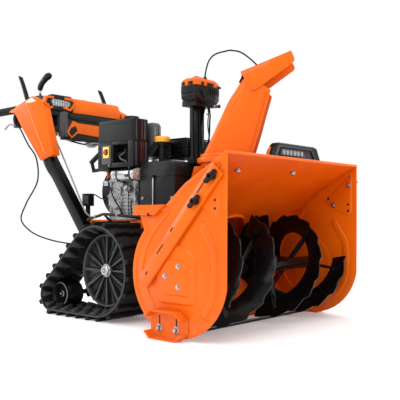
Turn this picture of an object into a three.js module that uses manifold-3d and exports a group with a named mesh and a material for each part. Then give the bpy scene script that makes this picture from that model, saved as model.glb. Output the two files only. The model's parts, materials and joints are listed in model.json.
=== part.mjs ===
// A two-stage walk-behind snow blower on rubber tracks, as an assembly of separate pieces.
// Millimetres, +Z up. The intake faces -Y and the operator stands at +Y. x = 0 is the centre plane and
// the operator's right hand is at -X. Inside the machine group, y is counted rearwards from the intake's
// front edge, and z from the ground.
import * as THREE from "three";
import { mergeVertices } from "three/addons/utils/BufferGeometryUtils.js";
import { ConvexGeometry } from "three/addons/geometries/ConvexGeometry.js";
import Module from "manifold-3d";

const wasm = await Module();
wasm.setup();

// ---- driving dimensions ----
const LENGTH = 1590; // intake edge to grip ends
const GAP = 0.4; // clearance between neighbouring pieces
const HALF_WIDTH = 410; // centre plane to the outer face of an intake side plate
const SHEET = 4; // intake side plate thickness
const INTAKE_HEIGHT = 603; // top of the intake's front edge
const DRUM = { y: 208, z: 212, r: 208 }; // round lower part of the intake, around the auger shaft
const SIDE = [-1, 1]; // right hand, left hand
const SIDE_NAME = { "-1": "right", 1: "left" };

const AUGER_R = 196;
const AUGER_RIBBON = 74; // radial depth of a flight
const AUGER_SHAFT_R = 16;
const FAN = { z: 232, r: 176, y0: 416, y1: 486 }; // impeller
const CHUTE = { y: 340, turn: 33, halfWidth: 72 };
const POST = { y: 486, base: 560, top: 852 };

const DRIVE = { y: 700, z: 190, r: 142 }; // drive wheel
const IDLER = { y: 983, z: 78, r: 50 };
const BELT = { x: 252, width: 185, thick: 10, lug: 15, pitch: 61 };
const BELT_R = DRIVE.z - BELT.lug; // outer radius of the belt round the drive wheel
const BELT_IDLER_R = IDLER.z - BELT.lug;
const WHEEL_FACE = 288; // centre plane to the outer face of the wheels
const WHEEL_BACK = 208;

const LEG_TOP = { x: 232, y: 1176, z: 700 };
const LEG_FOOT = { x: 138, y: 1000, z: 330 };
const CLUTCH = { x: 236, y: 1303, z: 914 }; // pivot of a clutch lever
const GRIP = { x: 232, r: 18, start: 1402, z: 891 };

// ---- colours ----
const ORANGE = { color: 0xf26a1b, roughness: 0.35, metalness: 0.1 };
const BLACK_PLASTIC = { color: 0x2b2c2e, roughness: 0.55, metalness: 0 };
const BLACK_STEEL = { color: 0x151516, roughness: 0.4, metalness: 0.3 };
const RUBBER = { color: 0x1a1a1a, roughness: 0.8, metalness: 0 };
const ALUMINIUM = { color: 0xa9abae, roughness: 0.4, metalness: 0.8 };
const STEEL = { color: 0xc4c6c8, roughness: 0.3, metalness: 0.9 };
const GREY_PLASTIC = { color: 0x6d7073, roughness: 0.5, metalness: 0 };
const YELLOW = { color: 0xf0a010, roughness: 0.4, metalness: 0 };
const RED = { color: 0xc01812, roughness: 0.4, metalness: 0 };
const LENS = { color: 0xd5dadd, roughness: 0.15, metalness: 0.2 };

// ---- shape helpers ----
const V = (x, y, z) => new THREE.Vector3(x, y, z);
const rad = THREE.MathUtils.degToRad;

function toSolid(geometry) {
  const bare = geometry.clone();
  bare.deleteAttribute("normal");
  bare.deleteAttribute("uv");
  const merged = mergeVertices(bare, 1e-3);
  return new wasm.Manifold(
    new wasm.Mesh({
      numProp: 3,
      vertProperties: new Float32Array(merged.attributes.position.array),
      triVerts: new Uint32Array(merged.index.array),
    }),
  );
}

function toGeometry(solid) {
  const mesh = solid.getMesh();
  const geometry = new THREE.BufferGeometry();
  geometry.setAttribute("position", new THREE.BufferAttribute(mesh.vertProperties, 3));
  geometry.setIndex(new THREE.BufferAttribute(mesh.triVerts, 1));
  return geometry;
}

// Joins the first list of shapes and cuts the second list out of it.
function solid(joined, cuts = []) {
  let result = toSolid(joined[0]);
  for (const shape of joined.slice(1)) result = result.add(toSolid(shape));
  for (const shape of cuts) result = result.subtract(toSolid(shape));
  return toGeometry(result);
}

function box(x0, x1, y0, y1, z0, z1) {
  const shape = new THREE.BoxGeometry(x1 - x0, y1 - y0, z1 - z0);
  return shape.translate((x0 + x1) / 2, (y0 + y1) / 2, (z0 + z1) / 2);
}

// A round bar from one point to another; its radius may change along the way.
function rod(from, to, radius, sides = 16, endRadius = radius) {
  const along = V().subVectors(to, from);
  const shape = new THREE.CylinderGeometry(endRadius, radius, along.length(), sides);
  const turn = new THREE.Quaternion().setFromUnitVectors(V(0, 1, 0), along.clone().normalize());
  shape.applyQuaternion(turn);
  return shape.translate((from.x + to.x) / 2, (from.y + to.y) / 2, (from.z + to.z) / 2);
}

// A flat bar from one point to another: width along "across", thickness square to both.
function bar(from, to, width, thickness, across) {
  const along = V().subVectors(to, from);
  const length = along.length();
  along.normalize();
  const side = across.clone().addScaledVector(along, -across.dot(along)).normalize();
  const flat = V().crossVectors(along, side);
  const shape = new THREE.BoxGeometry(length, width, thickness);
  shape.applyMatrix4(new THREE.Matrix4().makeBasis(along, side, flat));
  return shape.translate((from.x + to.x) / 2, (from.y + to.y) / 2, (from.z + to.z) / 2);
}

const outline = (points) => new THREE.Shape(points.map(([u, v]) => new THREE.Vector2(u, v)));

// An outline in (y, z) carried along x.
function alongX(shape, x0, x1, curveSegments = 12) {
  const solidShape = new THREE.ExtrudeGeometry(shape, { depth: x1 - x0, bevelEnabled: false, curveSegments });
  solidShape.applyMatrix4(new THREE.Matrix4().makeBasis(V(0, 1, 0), V(0, 0, 1), V(1, 0, 0)));
  return solidShape.translate(x0, 0, 0);
}

// An outline in (x, z) carried along y.
function alongY(shape, y0, y1, curveSegments = 12) {
  const solidShape = new THREE.ExtrudeGeometry(shape, { depth: y1 - y0, bevelEnabled: false, curveSegments });
  solidShape.applyMatrix4(new THREE.Matrix4().makeBasis(V(1, 0, 0), V(0, 0, 1), V(0, -1, 0)));
  return solidShape.translate(0, y1, 0);
}

// A tube or round cable through a list of points.
function tube(points, radius, sides, steps) {
  const section = [];
  for (let i = 0; i < sides; i += 1) {
    const a = (2 * Math.PI * i) / sides;
    section.push([radius * Math.cos(a), radius * Math.sin(a)]);
  }
  const path = new THREE.CatmullRomCurve3(points);
  return new THREE.ExtrudeGeometry(outline(section), { steps, extrudePath: path, bevelEnabled: false });
}

function arcPoints(y, z, radius, fromDeg, toDeg, steps) {
  const points = [];
  for (let i = 0; i <= steps; i += 1) {
    const a = rad(fromDeg + ((toDeg - fromDeg) * i) / steps);
    points.push([y + radius * Math.cos(a), z + radius * Math.sin(a)]);
  }
  return points;
}

const machine = new THREE.Group();
machine.position.y = -LENGTH / 2;

function piece(name, geometry, look, parent = machine) {
  const mesh = new THREE.Mesh(geometry, new THREE.MeshStandardMaterial(look));
  mesh.name = name;
  parent.add(mesh);
  return mesh;
}

// ---- intake housing ----
const NECK = { y: 382, z: 407 };
const SHELF = { y: 400, z: 436, drop: 26 };
const BEND = [176, 503]; // where the top panel folds down into the curved back

// Side plate: sloping top edge, a shelf at the back, and a round lower part.
function sidePlateOutline() {
  const shelfPoints = [
    [258, 438],
    [SHELF.y, SHELF.z],
    [SHELF.y, SHELF.z - SHELF.drop],
    [NECK.y, NECK.z],
  ];
  const bend = [BEND[0], BEND[1] + 2];
  return [[0, INTAKE_HEIGHT], bend, ...shelfPoints, ...arcPoints(DRUM.y, DRUM.z, DRUM.r, 43, -170, 26)];
}

for (const side of SIDE) {
  const shape = outline(sidePlateOutline());
  shape.holes.push(outline(arcPoints(DRUM.y, DRUM.z, AUGER_SHAFT_R + 3, 0, 340, 16)));
  const outer = side * HALF_WIDTH;
  const inner = side * (HALF_WIDTH - SHEET);
  const plate = alongX(shape, Math.min(outer, inner), Math.max(outer, inner));
  piece(`side_plate_${SIDE_NAME[side]}`, plate, ORANGE);
}

// Top panel and curved back, one bent sheet between the side plates, with the impeller's mouth in it.
const PANEL = 5;
function housingBackOutline() {
  const r = DRUM.r - 4;
  const outside = [[2, INTAKE_HEIGHT - 3], BEND, ...arcPoints(DRUM.y, DRUM.z, r, 56, -72, 18)];
  const insideBend = [BEND[0] - 3, BEND[1] - 6];
  const inside = [...arcPoints(DRUM.y, DRUM.z, r - PANEL, -72, 56, 18), insideBend, [2, INTAKE_HEIGHT - 9]];
  return outline([...outside, ...inside]);
}
const INSIDE = HALF_WIDTH - SHEET - GAP;
const mouth = rod(V(0, 300, FAN.z), V(0, 560, FAN.z), FAN.r - 6, 30);
piece("housing_back", solid([alongX(housingBackOutline(), -INSIDE, INSIDE)], [mouth]), ORANGE);

// Impeller drum behind the intake, with the square neck that feeds the chute.
function impellerHousing() {
  const drum = rod(V(0, 330, FAN.z), V(0, 500, FAN.z), FAN.r + 12, 30);
  const neckOutside = outline([[292, 380], [CHUTE.y - 84, 590], [CHUTE.y + 84, 590], [488, 420], [488, 300]]);
  const neckInside = outline([[285, 370], [CHUTE.y - 66, 640], [CHUTE.y + 66, 640], [482, 420], [482, 300]]);
  const collar = rod(V(0, CHUTE.y, 584), V(0, CHUTE.y, 600), 96, 32);
  const bore = rod(V(0, CHUTE.y, 560), V(0, CHUTE.y, 620), 62, 32);
  const hollow = rod(V(0, 300, FAN.z), V(0, 494, FAN.z), FAN.r + 6, 30);
  const shaftHole = rod(V(0, 480, FAN.z), V(0, 520, FAN.z), 16, 16);
  const sweep = arcPoints(DRUM.y, DRUM.z, DRUM.r - 3, -72, 56, 24);
  const slope = outline([[-20, INTAKE_HEIGHT + 20], [-20, 300], ...sweep, [BEND[0], BEND[1] + 1]]);
  return solid(
    [drum, alongX(neckOutside, -84, 84), collar],
    [hollow, alongX(neckInside, -72, 72), bore, shaftHole, alongX(slope, -300, 300)],
  );
}
piece("impeller_housing", impellerHousing(), ORANGE);

piece("scraper_blade", box(-INSIDE, INSIDE, 236, 262, 2, 12), BLACK_STEEL);

// Folded skid shoe with a top lip and a bottom lip, standing out from the side plate.
function skidShoe(side) {
  const face = side * (HALF_WIDTH + GAP);
  const out = side * 450;
  const web = [[157, 22], [186, 0], [298, 0], [324, 22], [324, 72], [298, 95], [186, 95], [157, 72]];
  const plate = alongX(outline(web), Math.min(face, face + side * 4), Math.max(face, face + side * 4));
  const lip = (points) => alongX(outline(points), Math.min(face, out), Math.max(face, out));
  const bottom = lip([[157, 22], [186, 0], [298, 0], [324, 22], [319, 26], [296, 5], [188, 5], [162, 26]]);
  const top = lip([[157, 72], [162, 68], [188, 90], [296, 90], [319, 68], [324, 72], [298, 95], [186, 95]]);
  return solid([plate, bottom, top]);
}
for (const side of SIDE) piece(`skid_shoe_${SIDE_NAME[side]}`, skidShoe(side), ORANGE);

// Work light bar standing on the sloping top panel, with its lens set back in a bevelled frame.
function workLight() {
  const face = outline([[12, 556], [22, 640], [56, 674], [312, 674], [352, 600], [358, 556]]);
  const recess = outline([[70, 612], [84, 656], [298, 656], [322, 612]]);
  return solid([alongY(face, 122, 166)], [alongY(recess, 112, 132)]);
}
piece("work_light", workLight(), BLACK_PLASTIC);

// ---- augers ----
// A toothed ribbon wound round the shaft: a flat strip bent by a formula.
function ribbon(side, startDeg) {
  const teeth = 13;
  const perTooth = 4;
  const toothDepth = 13;
  const strip = new THREE.BoxGeometry(1, 1, 1, teeth * perTooth, 1, 1);
  const at = strip.attributes.position;
  for (let i = 0; i < at.count; i += 1) {
    const u = at.getX(i) + 0.5;
    const step = Math.round(u * teeth * perTooth);
    const tooth = (toothDepth * (step % perTooth)) / perTooth;
    const radius = at.getY(i) > 0 ? AUGER_R - tooth : AUGER_R - AUGER_RIBBON;
    const angle = rad(startDeg) - side * u * rad(290);
    const lean = at.getY(i) > 0 ? 22 : 0;
    const x = 76 + u * 296 - lean + at.getZ(i) * 5;
    at.setXYZ(i, side * x, DRUM.y + radius * Math.cos(angle), DRUM.z + radius * Math.sin(angle));
  }
  return strip;
}

const AUGER_END = 409; // the shaft's outer end, just inside the side plate
const AUGER_SLEEVE_R = 24;
function augerHalf(side) {
  const onShaft = (x) => V(side * x, DRUM.y, DRUM.z);
  const shaft = rod(onShaft(GEARCASE_HALF + GAP), onShaft(AUGER_END), AUGER_SHAFT_R);
  const sleeve = rod(onShaft(60), onShaft(380), AUGER_SLEEVE_R, 16);
  const parts = [shaft, sleeve];
  for (const start of [100, 280]) {
    parts.push(ribbon(side, start));
    for (const u of [0.08, 0.52, 0.94]) {
      const angle = rad(start) - side * u * rad(290);
      const x = side * (68 + u * 296);
      const reach = AUGER_R - 34;
      const tip = V(x, DRUM.y + reach * Math.cos(angle), DRUM.z + reach * Math.sin(angle));
      parts.push(bar(V(x, DRUM.y, DRUM.z), tip, 30, 8, V(1, 0, 0)));
    }
  }
  return solid(parts);
}

const GEARCASE_HALF = 44;
for (const side of SIDE) piece(`auger_${SIDE_NAME[side]}`, augerHalf(side), BLACK_STEEL);

// Worm gearcase between the auger halves, on the nose of the impeller shaft.
function augerGearcase() {
  const half = GEARCASE_HALF;
  const round = rod(V(-half, DRUM.y, DRUM.z), V(half, DRUM.y, DRUM.z), 46, 24);
  const wormHousing = rod(V(0, 150, FAN.z + 34), V(0, 300, FAN.z + 34), 30, 16);
  const neck = rod(V(0, 296, FAN.z + 34), V(0, 380, FAN.z), 24, 16);
  return solid([round, wormHousing, neck, box(-30, 30, 160, 262, DRUM.z, FAN.z + 30)]);
}
piece("auger_gearcase", augerGearcase(), BLACK_STEEL);

// ---- impeller ----
function impeller() {
  const hub = rod(V(0, 392, FAN.z), V(0, 548, FAN.z), 14, 16);
  const parts = [hub, rod(V(0, FAN.y0, FAN.z), V(0, FAN.y1 - 4, FAN.z), 34, 24)];
  for (let blade = 0; blade < 4; blade += 1) {
    const a = rad(45 + 90 * blade);
    const tip = V((FAN.r + 2) * Math.cos(a), 451, FAN.z + (FAN.r + 2) * Math.sin(a));
    parts.push(bar(V(0, 451, FAN.z), tip, 60, 6, V(0, 1, 0)));
  }
  return solid(parts);
}
piece("impeller", impeller(), BLACK_STEEL);

// ---- chute and deflector, drawn facing -Y and then turned together ----
const chuteGroup = new THREE.Group();
chuteGroup.position.set(0, CHUTE.y, 0);
chuteGroup.rotation.z = rad(CHUTE.turn);
machine.add(chuteGroup);

// In the chute's own frame the snow leaves towards -Y. s is counted forwards.
const forward = (points) => outline(points.map(([s, z]) => [-s, z]));
const CHUTE_BACK = [[-84, 622], [-42, 707], [-10, 775], [17, 832], [41, 869], [69, 914]];
const CHUTE_FRONT = [[161, 880], [177, 866], [155, 789], [135, 715], [111, 636], [104, 622]];

function chute() {
  const w = CHUTE.halfWidth;
  const wall = 4;
  const body = alongX(forward([...CHUTE_BACK, [96, 914], ...CHUTE_FRONT]), -w, w);
  const hollowBack = CHUTE_BACK.map(([s, z]) => [s + 6, z - 1]);
  hollowBack[0] = [-66, 600];
  const hollow = forward([...hollowBack.slice(0, 5), [64, 930], [260, 960], [260, 700], [120, 600]]);
  const ring = rod(V(0, 0, 601), V(0, 0, 622), 108, 30);
  const bore = rod(V(0, 0, 590), V(0, 0, 640), 62, 32);
  const skirt = rod(V(0, 0, 618), V(0, 0, 636), 96, 32);
  return solid([body, ring, skirt], [alongX(hollow, -w + wall, w - wall), bore]);
}
piece("chute", chute(), ORANGE, chuteGroup);

// Tilting cap on the chute's mouth: a roof and two cheeks.
function deflector() {
  const w = CHUTE.halfWidth + 6;
  const cheek = [[66, 938], [253, 1011], [266, 985], [258, 959], [135, 866], [107, 858], [91, 872]];
  const inside = [[50, 927], [300, 1024], [300, 800], [50, 800]];
  return solid([alongX(forward(cheek), -w, w)], [alongX(forward(inside), -w + 4, w - 4)]);
}
piece("deflector", deflector(), ORANGE, chuteGroup);

// ---- chute drive: post, gearbox and pinion ----
function chutePost() {
  const post = box(-22, 22, POST.y - 20, POST.y + 18, POST.base, POST.top);
  const gusset = alongX(outline([[434, POST.top], [POST.y - 18, 740], [POST.y - 10, POST.top]]), -3, 3);
  const table = box(-60, 60, 432, POST.y + 22, POST.top - 6, POST.top);
  const foot = box(-40, 40, POST.y - 26, POST.y + 22, POST.base - 6, POST.base + 2);
  return solid([post, gusset, table, foot]);
}
piece("chute_post", chutePost(), BLACK_STEEL);

const GEARBOX_TOP = 912;
const gearboxPlan = [
  [-44, 428], [50, 428], [94, 446], [94, 506],
  [80, 520], [-56, 520], [-68, 508], [-68, 438],
];
function upright(points, z0, z1) {
  const shape = new THREE.ExtrudeGeometry(outline(points), { depth: z1 - z0, bevelEnabled: false });
  return shape.translate(0, 0, z0);
}
piece("chute_gearbox", upright(gearboxPlan, POST.top + GAP, GEARBOX_TOP), BLACK_PLASTIC);

function gearboxCover() {
  const z = GEARBOX_TOP + GAP;
  const plan = upright(gearboxPlan, z - 10, z + 40);
  const crown = outline([[420, z], [420, z + 22], [450, z + 36], [490, z + 28], [524, z + 10], [524, z]]);
  return toGeometry(toSolid(plan).intersect(toSolid(alongX(crown, -80, 100))));
}
piece("chute_gearbox_cover", gearboxCover(), ORANGE);

// Vertical shaft from the gearbox down to the pinion that turns the chute's toothed ring.
function chutePinion() {
  const y = CHUTE.y + 128;
  const shaft = rod(V(-46, y, 616), V(-46, y, POST.top - 6 - GAP), 7, 12);
  return solid([shaft, rod(V(-46, y, 603), V(-46, y, 619), 18, 16)]);
}
piece("chute_pinion", chutePinion(), STEEL);

// ---- wing knobs and drift cutters on the side plates ----
const CUTTER = { top: [30, 548], bottom: [352, 182], width: 56, depth: 14 };
const KNOBS = [[40, 523], [108, 447]];
const KNOB_SIDE = 452 - HALF_WIDTH;

// Folded bar that slides along its slots and cuts into high drifts.
function driftCutter(side) {
  const x = side * (HALF_WIDTH + GAP + CUTTER.depth / 2);
  const from = V(x, ...CUTTER.top);
  const to = V(x, ...CUTTER.bottom);
  const along = V().subVectors(to, from).normalize();
  const across = V(0, -along.z, along.y);
  const blade = bar(from, to, CUTTER.width, CUTTER.depth, across);
  const past = (end, distance) => end.clone().addScaledVector(along, distance);
  const fold = 10; // width of the folded edge on each side
  const inside = bar(past(from, -9), past(to, 9), CUTTER.width - 2 * fold, CUTTER.depth, across);
  inside.translate(-side * 4, 0, 0);
  const slots = KNOBS.map(([y, z]) => {
    const start = V(x, y, z).addScaledVector(along, -8);
    const end = V(x, y, z).addScaledVector(along, 92);
    return bar(start, end, 10, 40, across);
  });
  return solid([blade], [inside, ...slots]);
}

function wingKnob(side, [y, z]) {
  const x0 = side * (HALF_WIDTH + GAP + CUTTER.depth + GAP);
  const x1 = side * (HALF_WIDTH + KNOB_SIDE - 2);
  const hub = rod(V(x0, y, z), V(x1, y, z), 11, 14);
  const wing = bar(V(x1 - side * 8, y - 20, z + 17), V(x1 - side * 8, y + 20, z - 17), 14, 12, V(1, 0, 0));
  const bolt = rod(V(side * (HALF_WIDTH + GAP), y, z), V(x0, y, z), 4, 10);
  return solid([hub, wing, bolt]);
}

for (const side of SIDE) {
  piece(`drift_cutter_${SIDE_NAME[side]}`, driftCutter(side), ORANGE);
  KNOBS.forEach((at, i) => {
    piece(`wing_knob_${SIDE_NAME[side]}_${["front", "rear"][i]}`, wingKnob(side, at), BLACK_PLASTIC);
  });
}

// ---- chassis ----
const CHASSIS = { half: 130, wall: 5, front: 514, rear: 1022, top: 384 };
const PIVOT_HOLE_R = 24;

// Folded frame: two walls, a floor and an engine deck, open at the back.
function chassisFrame() {
  const { half, wall, front, rear, top } = CHASSIS;
  const side = [[front, top], [rear, top], [rear, 300], [820, 246], [790, 150], [560, 150], [front, 230]];
  const walls = [-half, half - wall].map((x) => alongX(outline(side), x, x + wall));
  const floor = box(-half, half, 560, 780, 150, 150 + wall);
  const deck = box(-half, half, front, 960, top - wall, top);
  const noseHole = rod(V(0, front - 20, FAN.z), V(0, front + 20, FAN.z), 40, 16);
  const nose = box(-half, half, front, front + wall, 232, top);
  const axleHole = rod(V(-half - 20, DRIVE.y, DRIVE.z), V(half + 20, DRIVE.y, DRIVE.z), PIVOT_HOLE_R, 24);
  const deckHole = rod(V(0, 880, top - 20), V(0, 880, top + 20), 50, 24);
  return solid([...walls, floor, deck, nose], [noseHole, axleHole, deckHole]);
}
piece("chassis_frame", chassisFrame(), ORANGE);

// Transmission with the axle tubes that the track frames swing on and the half shafts that carry the wheels.
const AXLE_R = 13;
const AXLE_TUBE_R = 20;
function transaxle() {
  const y = DRIVE.y;
  const z = DRIVE.z;
  const half = WHEEL_BACK - 4;
  return solid([
    box(-62, 62, y - 55, y + 60, 158, 300),
    rod(V(-half, y, z), V(half, y, z), AXLE_TUBE_R, 24),
    rod(V(-WHEEL_FACE - 2, y, z), V(WHEEL_FACE + 2, y, z), AXLE_R, 16),
    rod(V(0, y, 290), V(0, y, 340), 24, 16),
  ]);
}
piece("transaxle", transaxle(), BLACK_STEEL);

// ---- track drive ----
// The belt's path: flat on the ground, round the idler, and over the drive wheel. s runs along it.
const CENTRES = Math.hypot(IDLER.y - DRIVE.y, IDLER.z - DRIVE.z);
const STRAIGHT = Math.sqrt(CENTRES ** 2 - (BELT_R - BELT_IDLER_R) ** 2);
const SLOPE = Math.atan2(IDLER.z - DRIVE.z, IDLER.y - DRIVE.y);
const TANGENT = Math.acos((BELT_R - BELT_IDLER_R) / CENTRES) + SLOPE;
const IDLER_ARC = (TANGENT + Math.PI / 2) * BELT_IDLER_R;
const DRIVE_ARC = ((3 * Math.PI) / 2 - TANGENT) * BELT_R;
const LOOP = 2 * STRAIGHT + IDLER_ARC + DRIVE_ARC;

function beltPoint(s, offset) {
  const at = ((s % LOOP) + LOOP) % LOOP;
  const round = (wheel, radius, angle) => [
    wheel.y + (radius + offset) * Math.cos(angle),
    wheel.z + (radius + offset) * Math.sin(angle),
  ];
  if (at < STRAIGHT) return [DRIVE.y + at, DRIVE.z - BELT_R - offset];
  const onIdler = at - STRAIGHT;
  if (onIdler < IDLER_ARC) return round(IDLER, BELT_IDLER_R, -Math.PI / 2 + onIdler / BELT_IDLER_R);
  const onTop = onIdler - IDLER_ARC;
  if (onTop < STRAIGHT) {
    const [y0, z0] = round(IDLER, BELT_IDLER_R, TANGENT);
    const [y1, z1] = round(DRIVE, BELT_R, TANGENT);
    const t = onTop / STRAIGHT;
    return [y0 + (y1 - y0) * t, z0 + (z1 - z0) * t];
  }
  return round(DRIVE, BELT_R, TANGENT + (onTop - STRAIGHT) / BELT_R);
}

function trackBelt(side) {
  const lugs = Math.round(LOOP / BELT.pitch);
  const pitch = LOOP / lugs;
  const outer = [];
  for (let i = 0; i < lugs; i += 1) {
    const s = pitch * (i + 0.5);
    const corners = [[-13, 0], [-9, BELT.lug], [9, BELT.lug], [13, 0], [pitch / 2, 0]];
    for (const [ds, rise] of corners) outer.push(beltPoint(s + ds, rise));
  }
  const inner = [];
  for (let i = 0; i < lugs * 3; i += 1) inner.push(beltPoint((pitch * i) / 3, -BELT.thick));
  const shape = outline(outer);
  shape.holes.push(outline(inner));
  const x0 = side * BELT.x - BELT.width / 2;
  return alongX(shape, x0, x0 + BELT.width);
}

// Swing frame: an arm on each side, hung on the axle tubes, with a cross tube under the chassis.
const ARM = { inner: 137, outer: 147 };
function trackFrame() {
  const cross = { y: 868, z: 126, r: 14 };
  const parts = [rod(V(-ARM.outer, cross.y, cross.z), V(ARM.outer, cross.y, cross.z), cross.r, 16)];
  for (const side of SIDE) {
    const lo = side > 0 ? ARM.inner : -ARM.outer;
    const atDrive = [[DRIVE.y, 236], [DRIVE.y - 44, 190], [DRIVE.y, 146]];
    const arm = [...atDrive, [IDLER.y, 52], [IDLER.y + 23, 78], [IDLER.y, 104]];
    parts.push(alongX(outline(arm), lo, lo + ARM.outer - ARM.inner));
    parts.push(rod(V(side * ARM.inner, IDLER.y, IDLER.z), V(side * WHEEL_FACE, IDLER.y, IDLER.z), 10, 16));
  }
  const pivot = rod(V(-300, DRIVE.y, DRIVE.z), V(300, DRIVE.y, DRIVE.z), AXLE_TUBE_R + GAP, 24);
  return solid(parts, [pivot]);
}
piece("track_frame", trackFrame(), BLACK_STEEL);

// A wheel turned from a profile of [radius, x] points, with its bore.
function wheel(side, at, profile, segments) {
  const points = [...profile, profile[0]].map(([r, x]) => new THREE.Vector2(r, x));
  const shape = new THREE.LatheGeometry(points, segments);
  shape.applyMatrix4(new THREE.Matrix4().makeBasis(V(0, 1, 0), V(1, 0, 0), V(0, 0, -1)));
  if (side < 0) shape.applyMatrix4(new THREE.Matrix4().makeRotationZ(Math.PI));
  return shape.translate(0, at.y, at.z);
}

const WEB_X = 262;
for (const side of SIDE) {
  const rim = DRIVE.r;
  const teeth = BELT_R - BELT.thick - 3;
  const bore = AXLE_R + GAP;
  const driveProfile = [
    [bore, WHEEL_BACK], [40, WHEEL_BACK], [44, WEB_X - 8], [rim - 12, WEB_X - 22], [teeth, WEB_X - 22],
    [teeth, WEB_X - 2], [rim, WEB_X - 2], [rim, WHEEL_FACE], [rim - 12, WHEEL_FACE], [rim - 12, WEB_X],
    [44, WEB_X], [34, WHEEL_FACE], [bore, WHEEL_FACE],
  ];
  const idlerProfile = [
    [10 + GAP, WHEEL_BACK], [IDLER.r, WHEEL_BACK], [IDLER.r, WHEEL_FACE - 4], [42, WHEEL_FACE - 4],
    [38, WHEEL_FACE - 24], [22, WHEEL_FACE - 24], [18, WHEEL_FACE - 6], [10 + GAP, WHEEL_FACE - 6],
  ];
  piece(`drive_wheel_${SIDE_NAME[side]}`, wheel(side, DRIVE, driveProfile, 30), BLACK_PLASTIC);
  piece(`idler_wheel_${SIDE_NAME[side]}`, wheel(side, IDLER, idlerProfile, 24), BLACK_PLASTIC);
  piece(`track_belt_${SIDE_NAME[side]}`, trackBelt(side), RUBBER);
}

// ---- engine ----
const HOOD = { x0: -180, x1: -92, y0: 664, y1: 880, z0: 586, seam: 702, z1: 792 };
const PLATE = CHASSIS.top + GAP;

function engineBlock() {
  const crankcase = box(-118, 118, 700, 872, PLATE, 560);
  const foot = box(-140, 140, 690, 872, PLATE, PLATE + 12);
  const cylinder = box(60, 214, 716, 850, 430, 600);
  const head = box(96, 190, 726, 840, 590, 640);
  const gearcaseCover = rod(V(0, 690, 470), V(0, 708, 470), 78, 24);
  const crank = rod(V(0, 640, 470), V(0, 700, 470), 15, 18);
  const sump = box(-96, 96, 716, 856, PLATE - 2, 520);
  return solid([crankcase, foot, cylinder, head, gearcaseCover, crank], [sump]);
}
piece("engine_block", engineBlock(), ALUMINIUM);

// Fan shroud with the pull starter's round housing at the back.
function flywheelCover() {
  const shroud = rod(V(0, 873, 504), V(0, 926, 504), 116, 32);
  const starter = rod(V(0, 924, 500), V(0, 950, 500), 92, 28, 80);
  const hollow = rod(V(0, 872, 504), V(0, 918, 504), 110, 32);
  const shoulder = box(-88, 60, 873, 926, 500, 640);
  return solid([shroud, starter, shoulder], [hollow, rod(V(-60, 940, 560), V(-60, 960, 560), 6, 12)]);
}
piece("flywheel_cover", flywheelCover().translate(0, GAP, 0), BLACK_PLASTIC);

function starterMotor() {
  const motor = rod(V(-152, 668, 568), V(-152, 800, 568), 27, 24);
  const nose = box(-168, -118 - GAP, 772, 806, 540, 584);
  return solid([motor, nose]);
}
piece("starter_motor", starterMotor(), STEEL);

const STOP = { y: 823, z: 661, stem: 6 };
// Intake cover with the recess that the breather hose runs through.
function intakeCover() {
  const cover = box(HOOD.x0, HOOD.x1, HOOD.y0, HOOD.y1, HOOD.z0, HOOD.seam);
  const recess = box(HOOD.x0 - 5, HOOD.x0 + 50, 696, 786, 616, 690);
  const motorNotch = box(-200, HOOD.x1 + 10, 650, 812, 560, 597);
  const buttonHole = rod(V(HOOD.x0 - 5, STOP.y, STOP.z), V(HOOD.x0 + 24, STOP.y, STOP.z), STOP.stem + 1, 14);
  return solid([cover], [recess, motorNotch, buttonHole]);
}
piece("intake_cover", intakeCover(), BLACK_PLASTIC);

const FUEL_CAP = { x: -136, y: 722, r: 32 };
function fuelTank() {
  const front = [[HOOD.y0, HOOD.seam], [HOOD.y0 + 4, HOOD.z1 - 2], [HOOD.y0 + 14, HOOD.z1]];
  const side = [...front, [HOOD.y1, HOOD.z1], [HOOD.y1, HOOD.seam]];
  const tank = alongX(outline(side), HOOD.x0, HOOD.x1);
  const inside = box(HOOD.x0 + 4, HOOD.x1 - 4, HOOD.y0 + 10, HOOD.y1 - 6, HOOD.seam + 5, HOOD.z1 - 5);
  const filler = rod(V(FUEL_CAP.x, FUEL_CAP.y, 770), V(FUEL_CAP.x, FUEL_CAP.y, 800), 20, 16);
  return solid([tank], [inside, filler]);
}
piece("fuel_tank", fuelTank().translate(0, 0, GAP), BLACK_PLASTIC);

// A cap's centre at the given height above its seat.
function above(at, z) {
  return V(at.x, at.y, z);
}
const fuelSeat = HOOD.z1 + 2 * GAP;
const fuelCap = rod(above(FUEL_CAP, fuelSeat), above(FUEL_CAP, fuelSeat + 12), FUEL_CAP.r, 28, 24);
piece("fuel_cap", fuelCap, BLACK_PLASTIC);

const stopStem = rod(V(HOOD.x0 + 8, STOP.y, STOP.z), V(HOOD.x0 - 6, STOP.y, STOP.z), STOP.stem, 14);
const stopHead = rod(V(HOOD.x0 - 5, STOP.y, STOP.z), V(HOOD.x0 - 12, STOP.y, STOP.z), 9, 18);
piece("stop_button", solid([stopStem, stopHead]), RED);

// Silver-grey cowl: a tall fluted front beside the tank, and a low lid over the cylinder.
const COWL = { x0: -76, step: -38, x1: 196, lid: 722, top: 782, wall: 6 };
function engineCowl() {
  const { x0, step, x1, lid, top, wall } = COWL;
  const front = [[700, 648], [690, 704], [652, 704]];
  const low = [...front, [652, lid - 12], [664, lid], [866, lid], [866, 648]];
  const tall = [...front, [652, top - 12], [668, top], [850, top], [866, top - 16], [866, 648]];
  const lidHollow = box(step, x1 - wall, 706, 860, 640, lid - wall);
  const tallHollow = box(x0 + wall, step + 1, 706, 860, 640, top - wall);
  const tallSide = alongX(outline(tall), x0, step + wall);
  return solid([tallSide, alongX(outline(low), step, x1)], [lidHollow, tallHollow]);
}
piece("engine_cowl", engineCowl(), GREY_PLASTIC);

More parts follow.
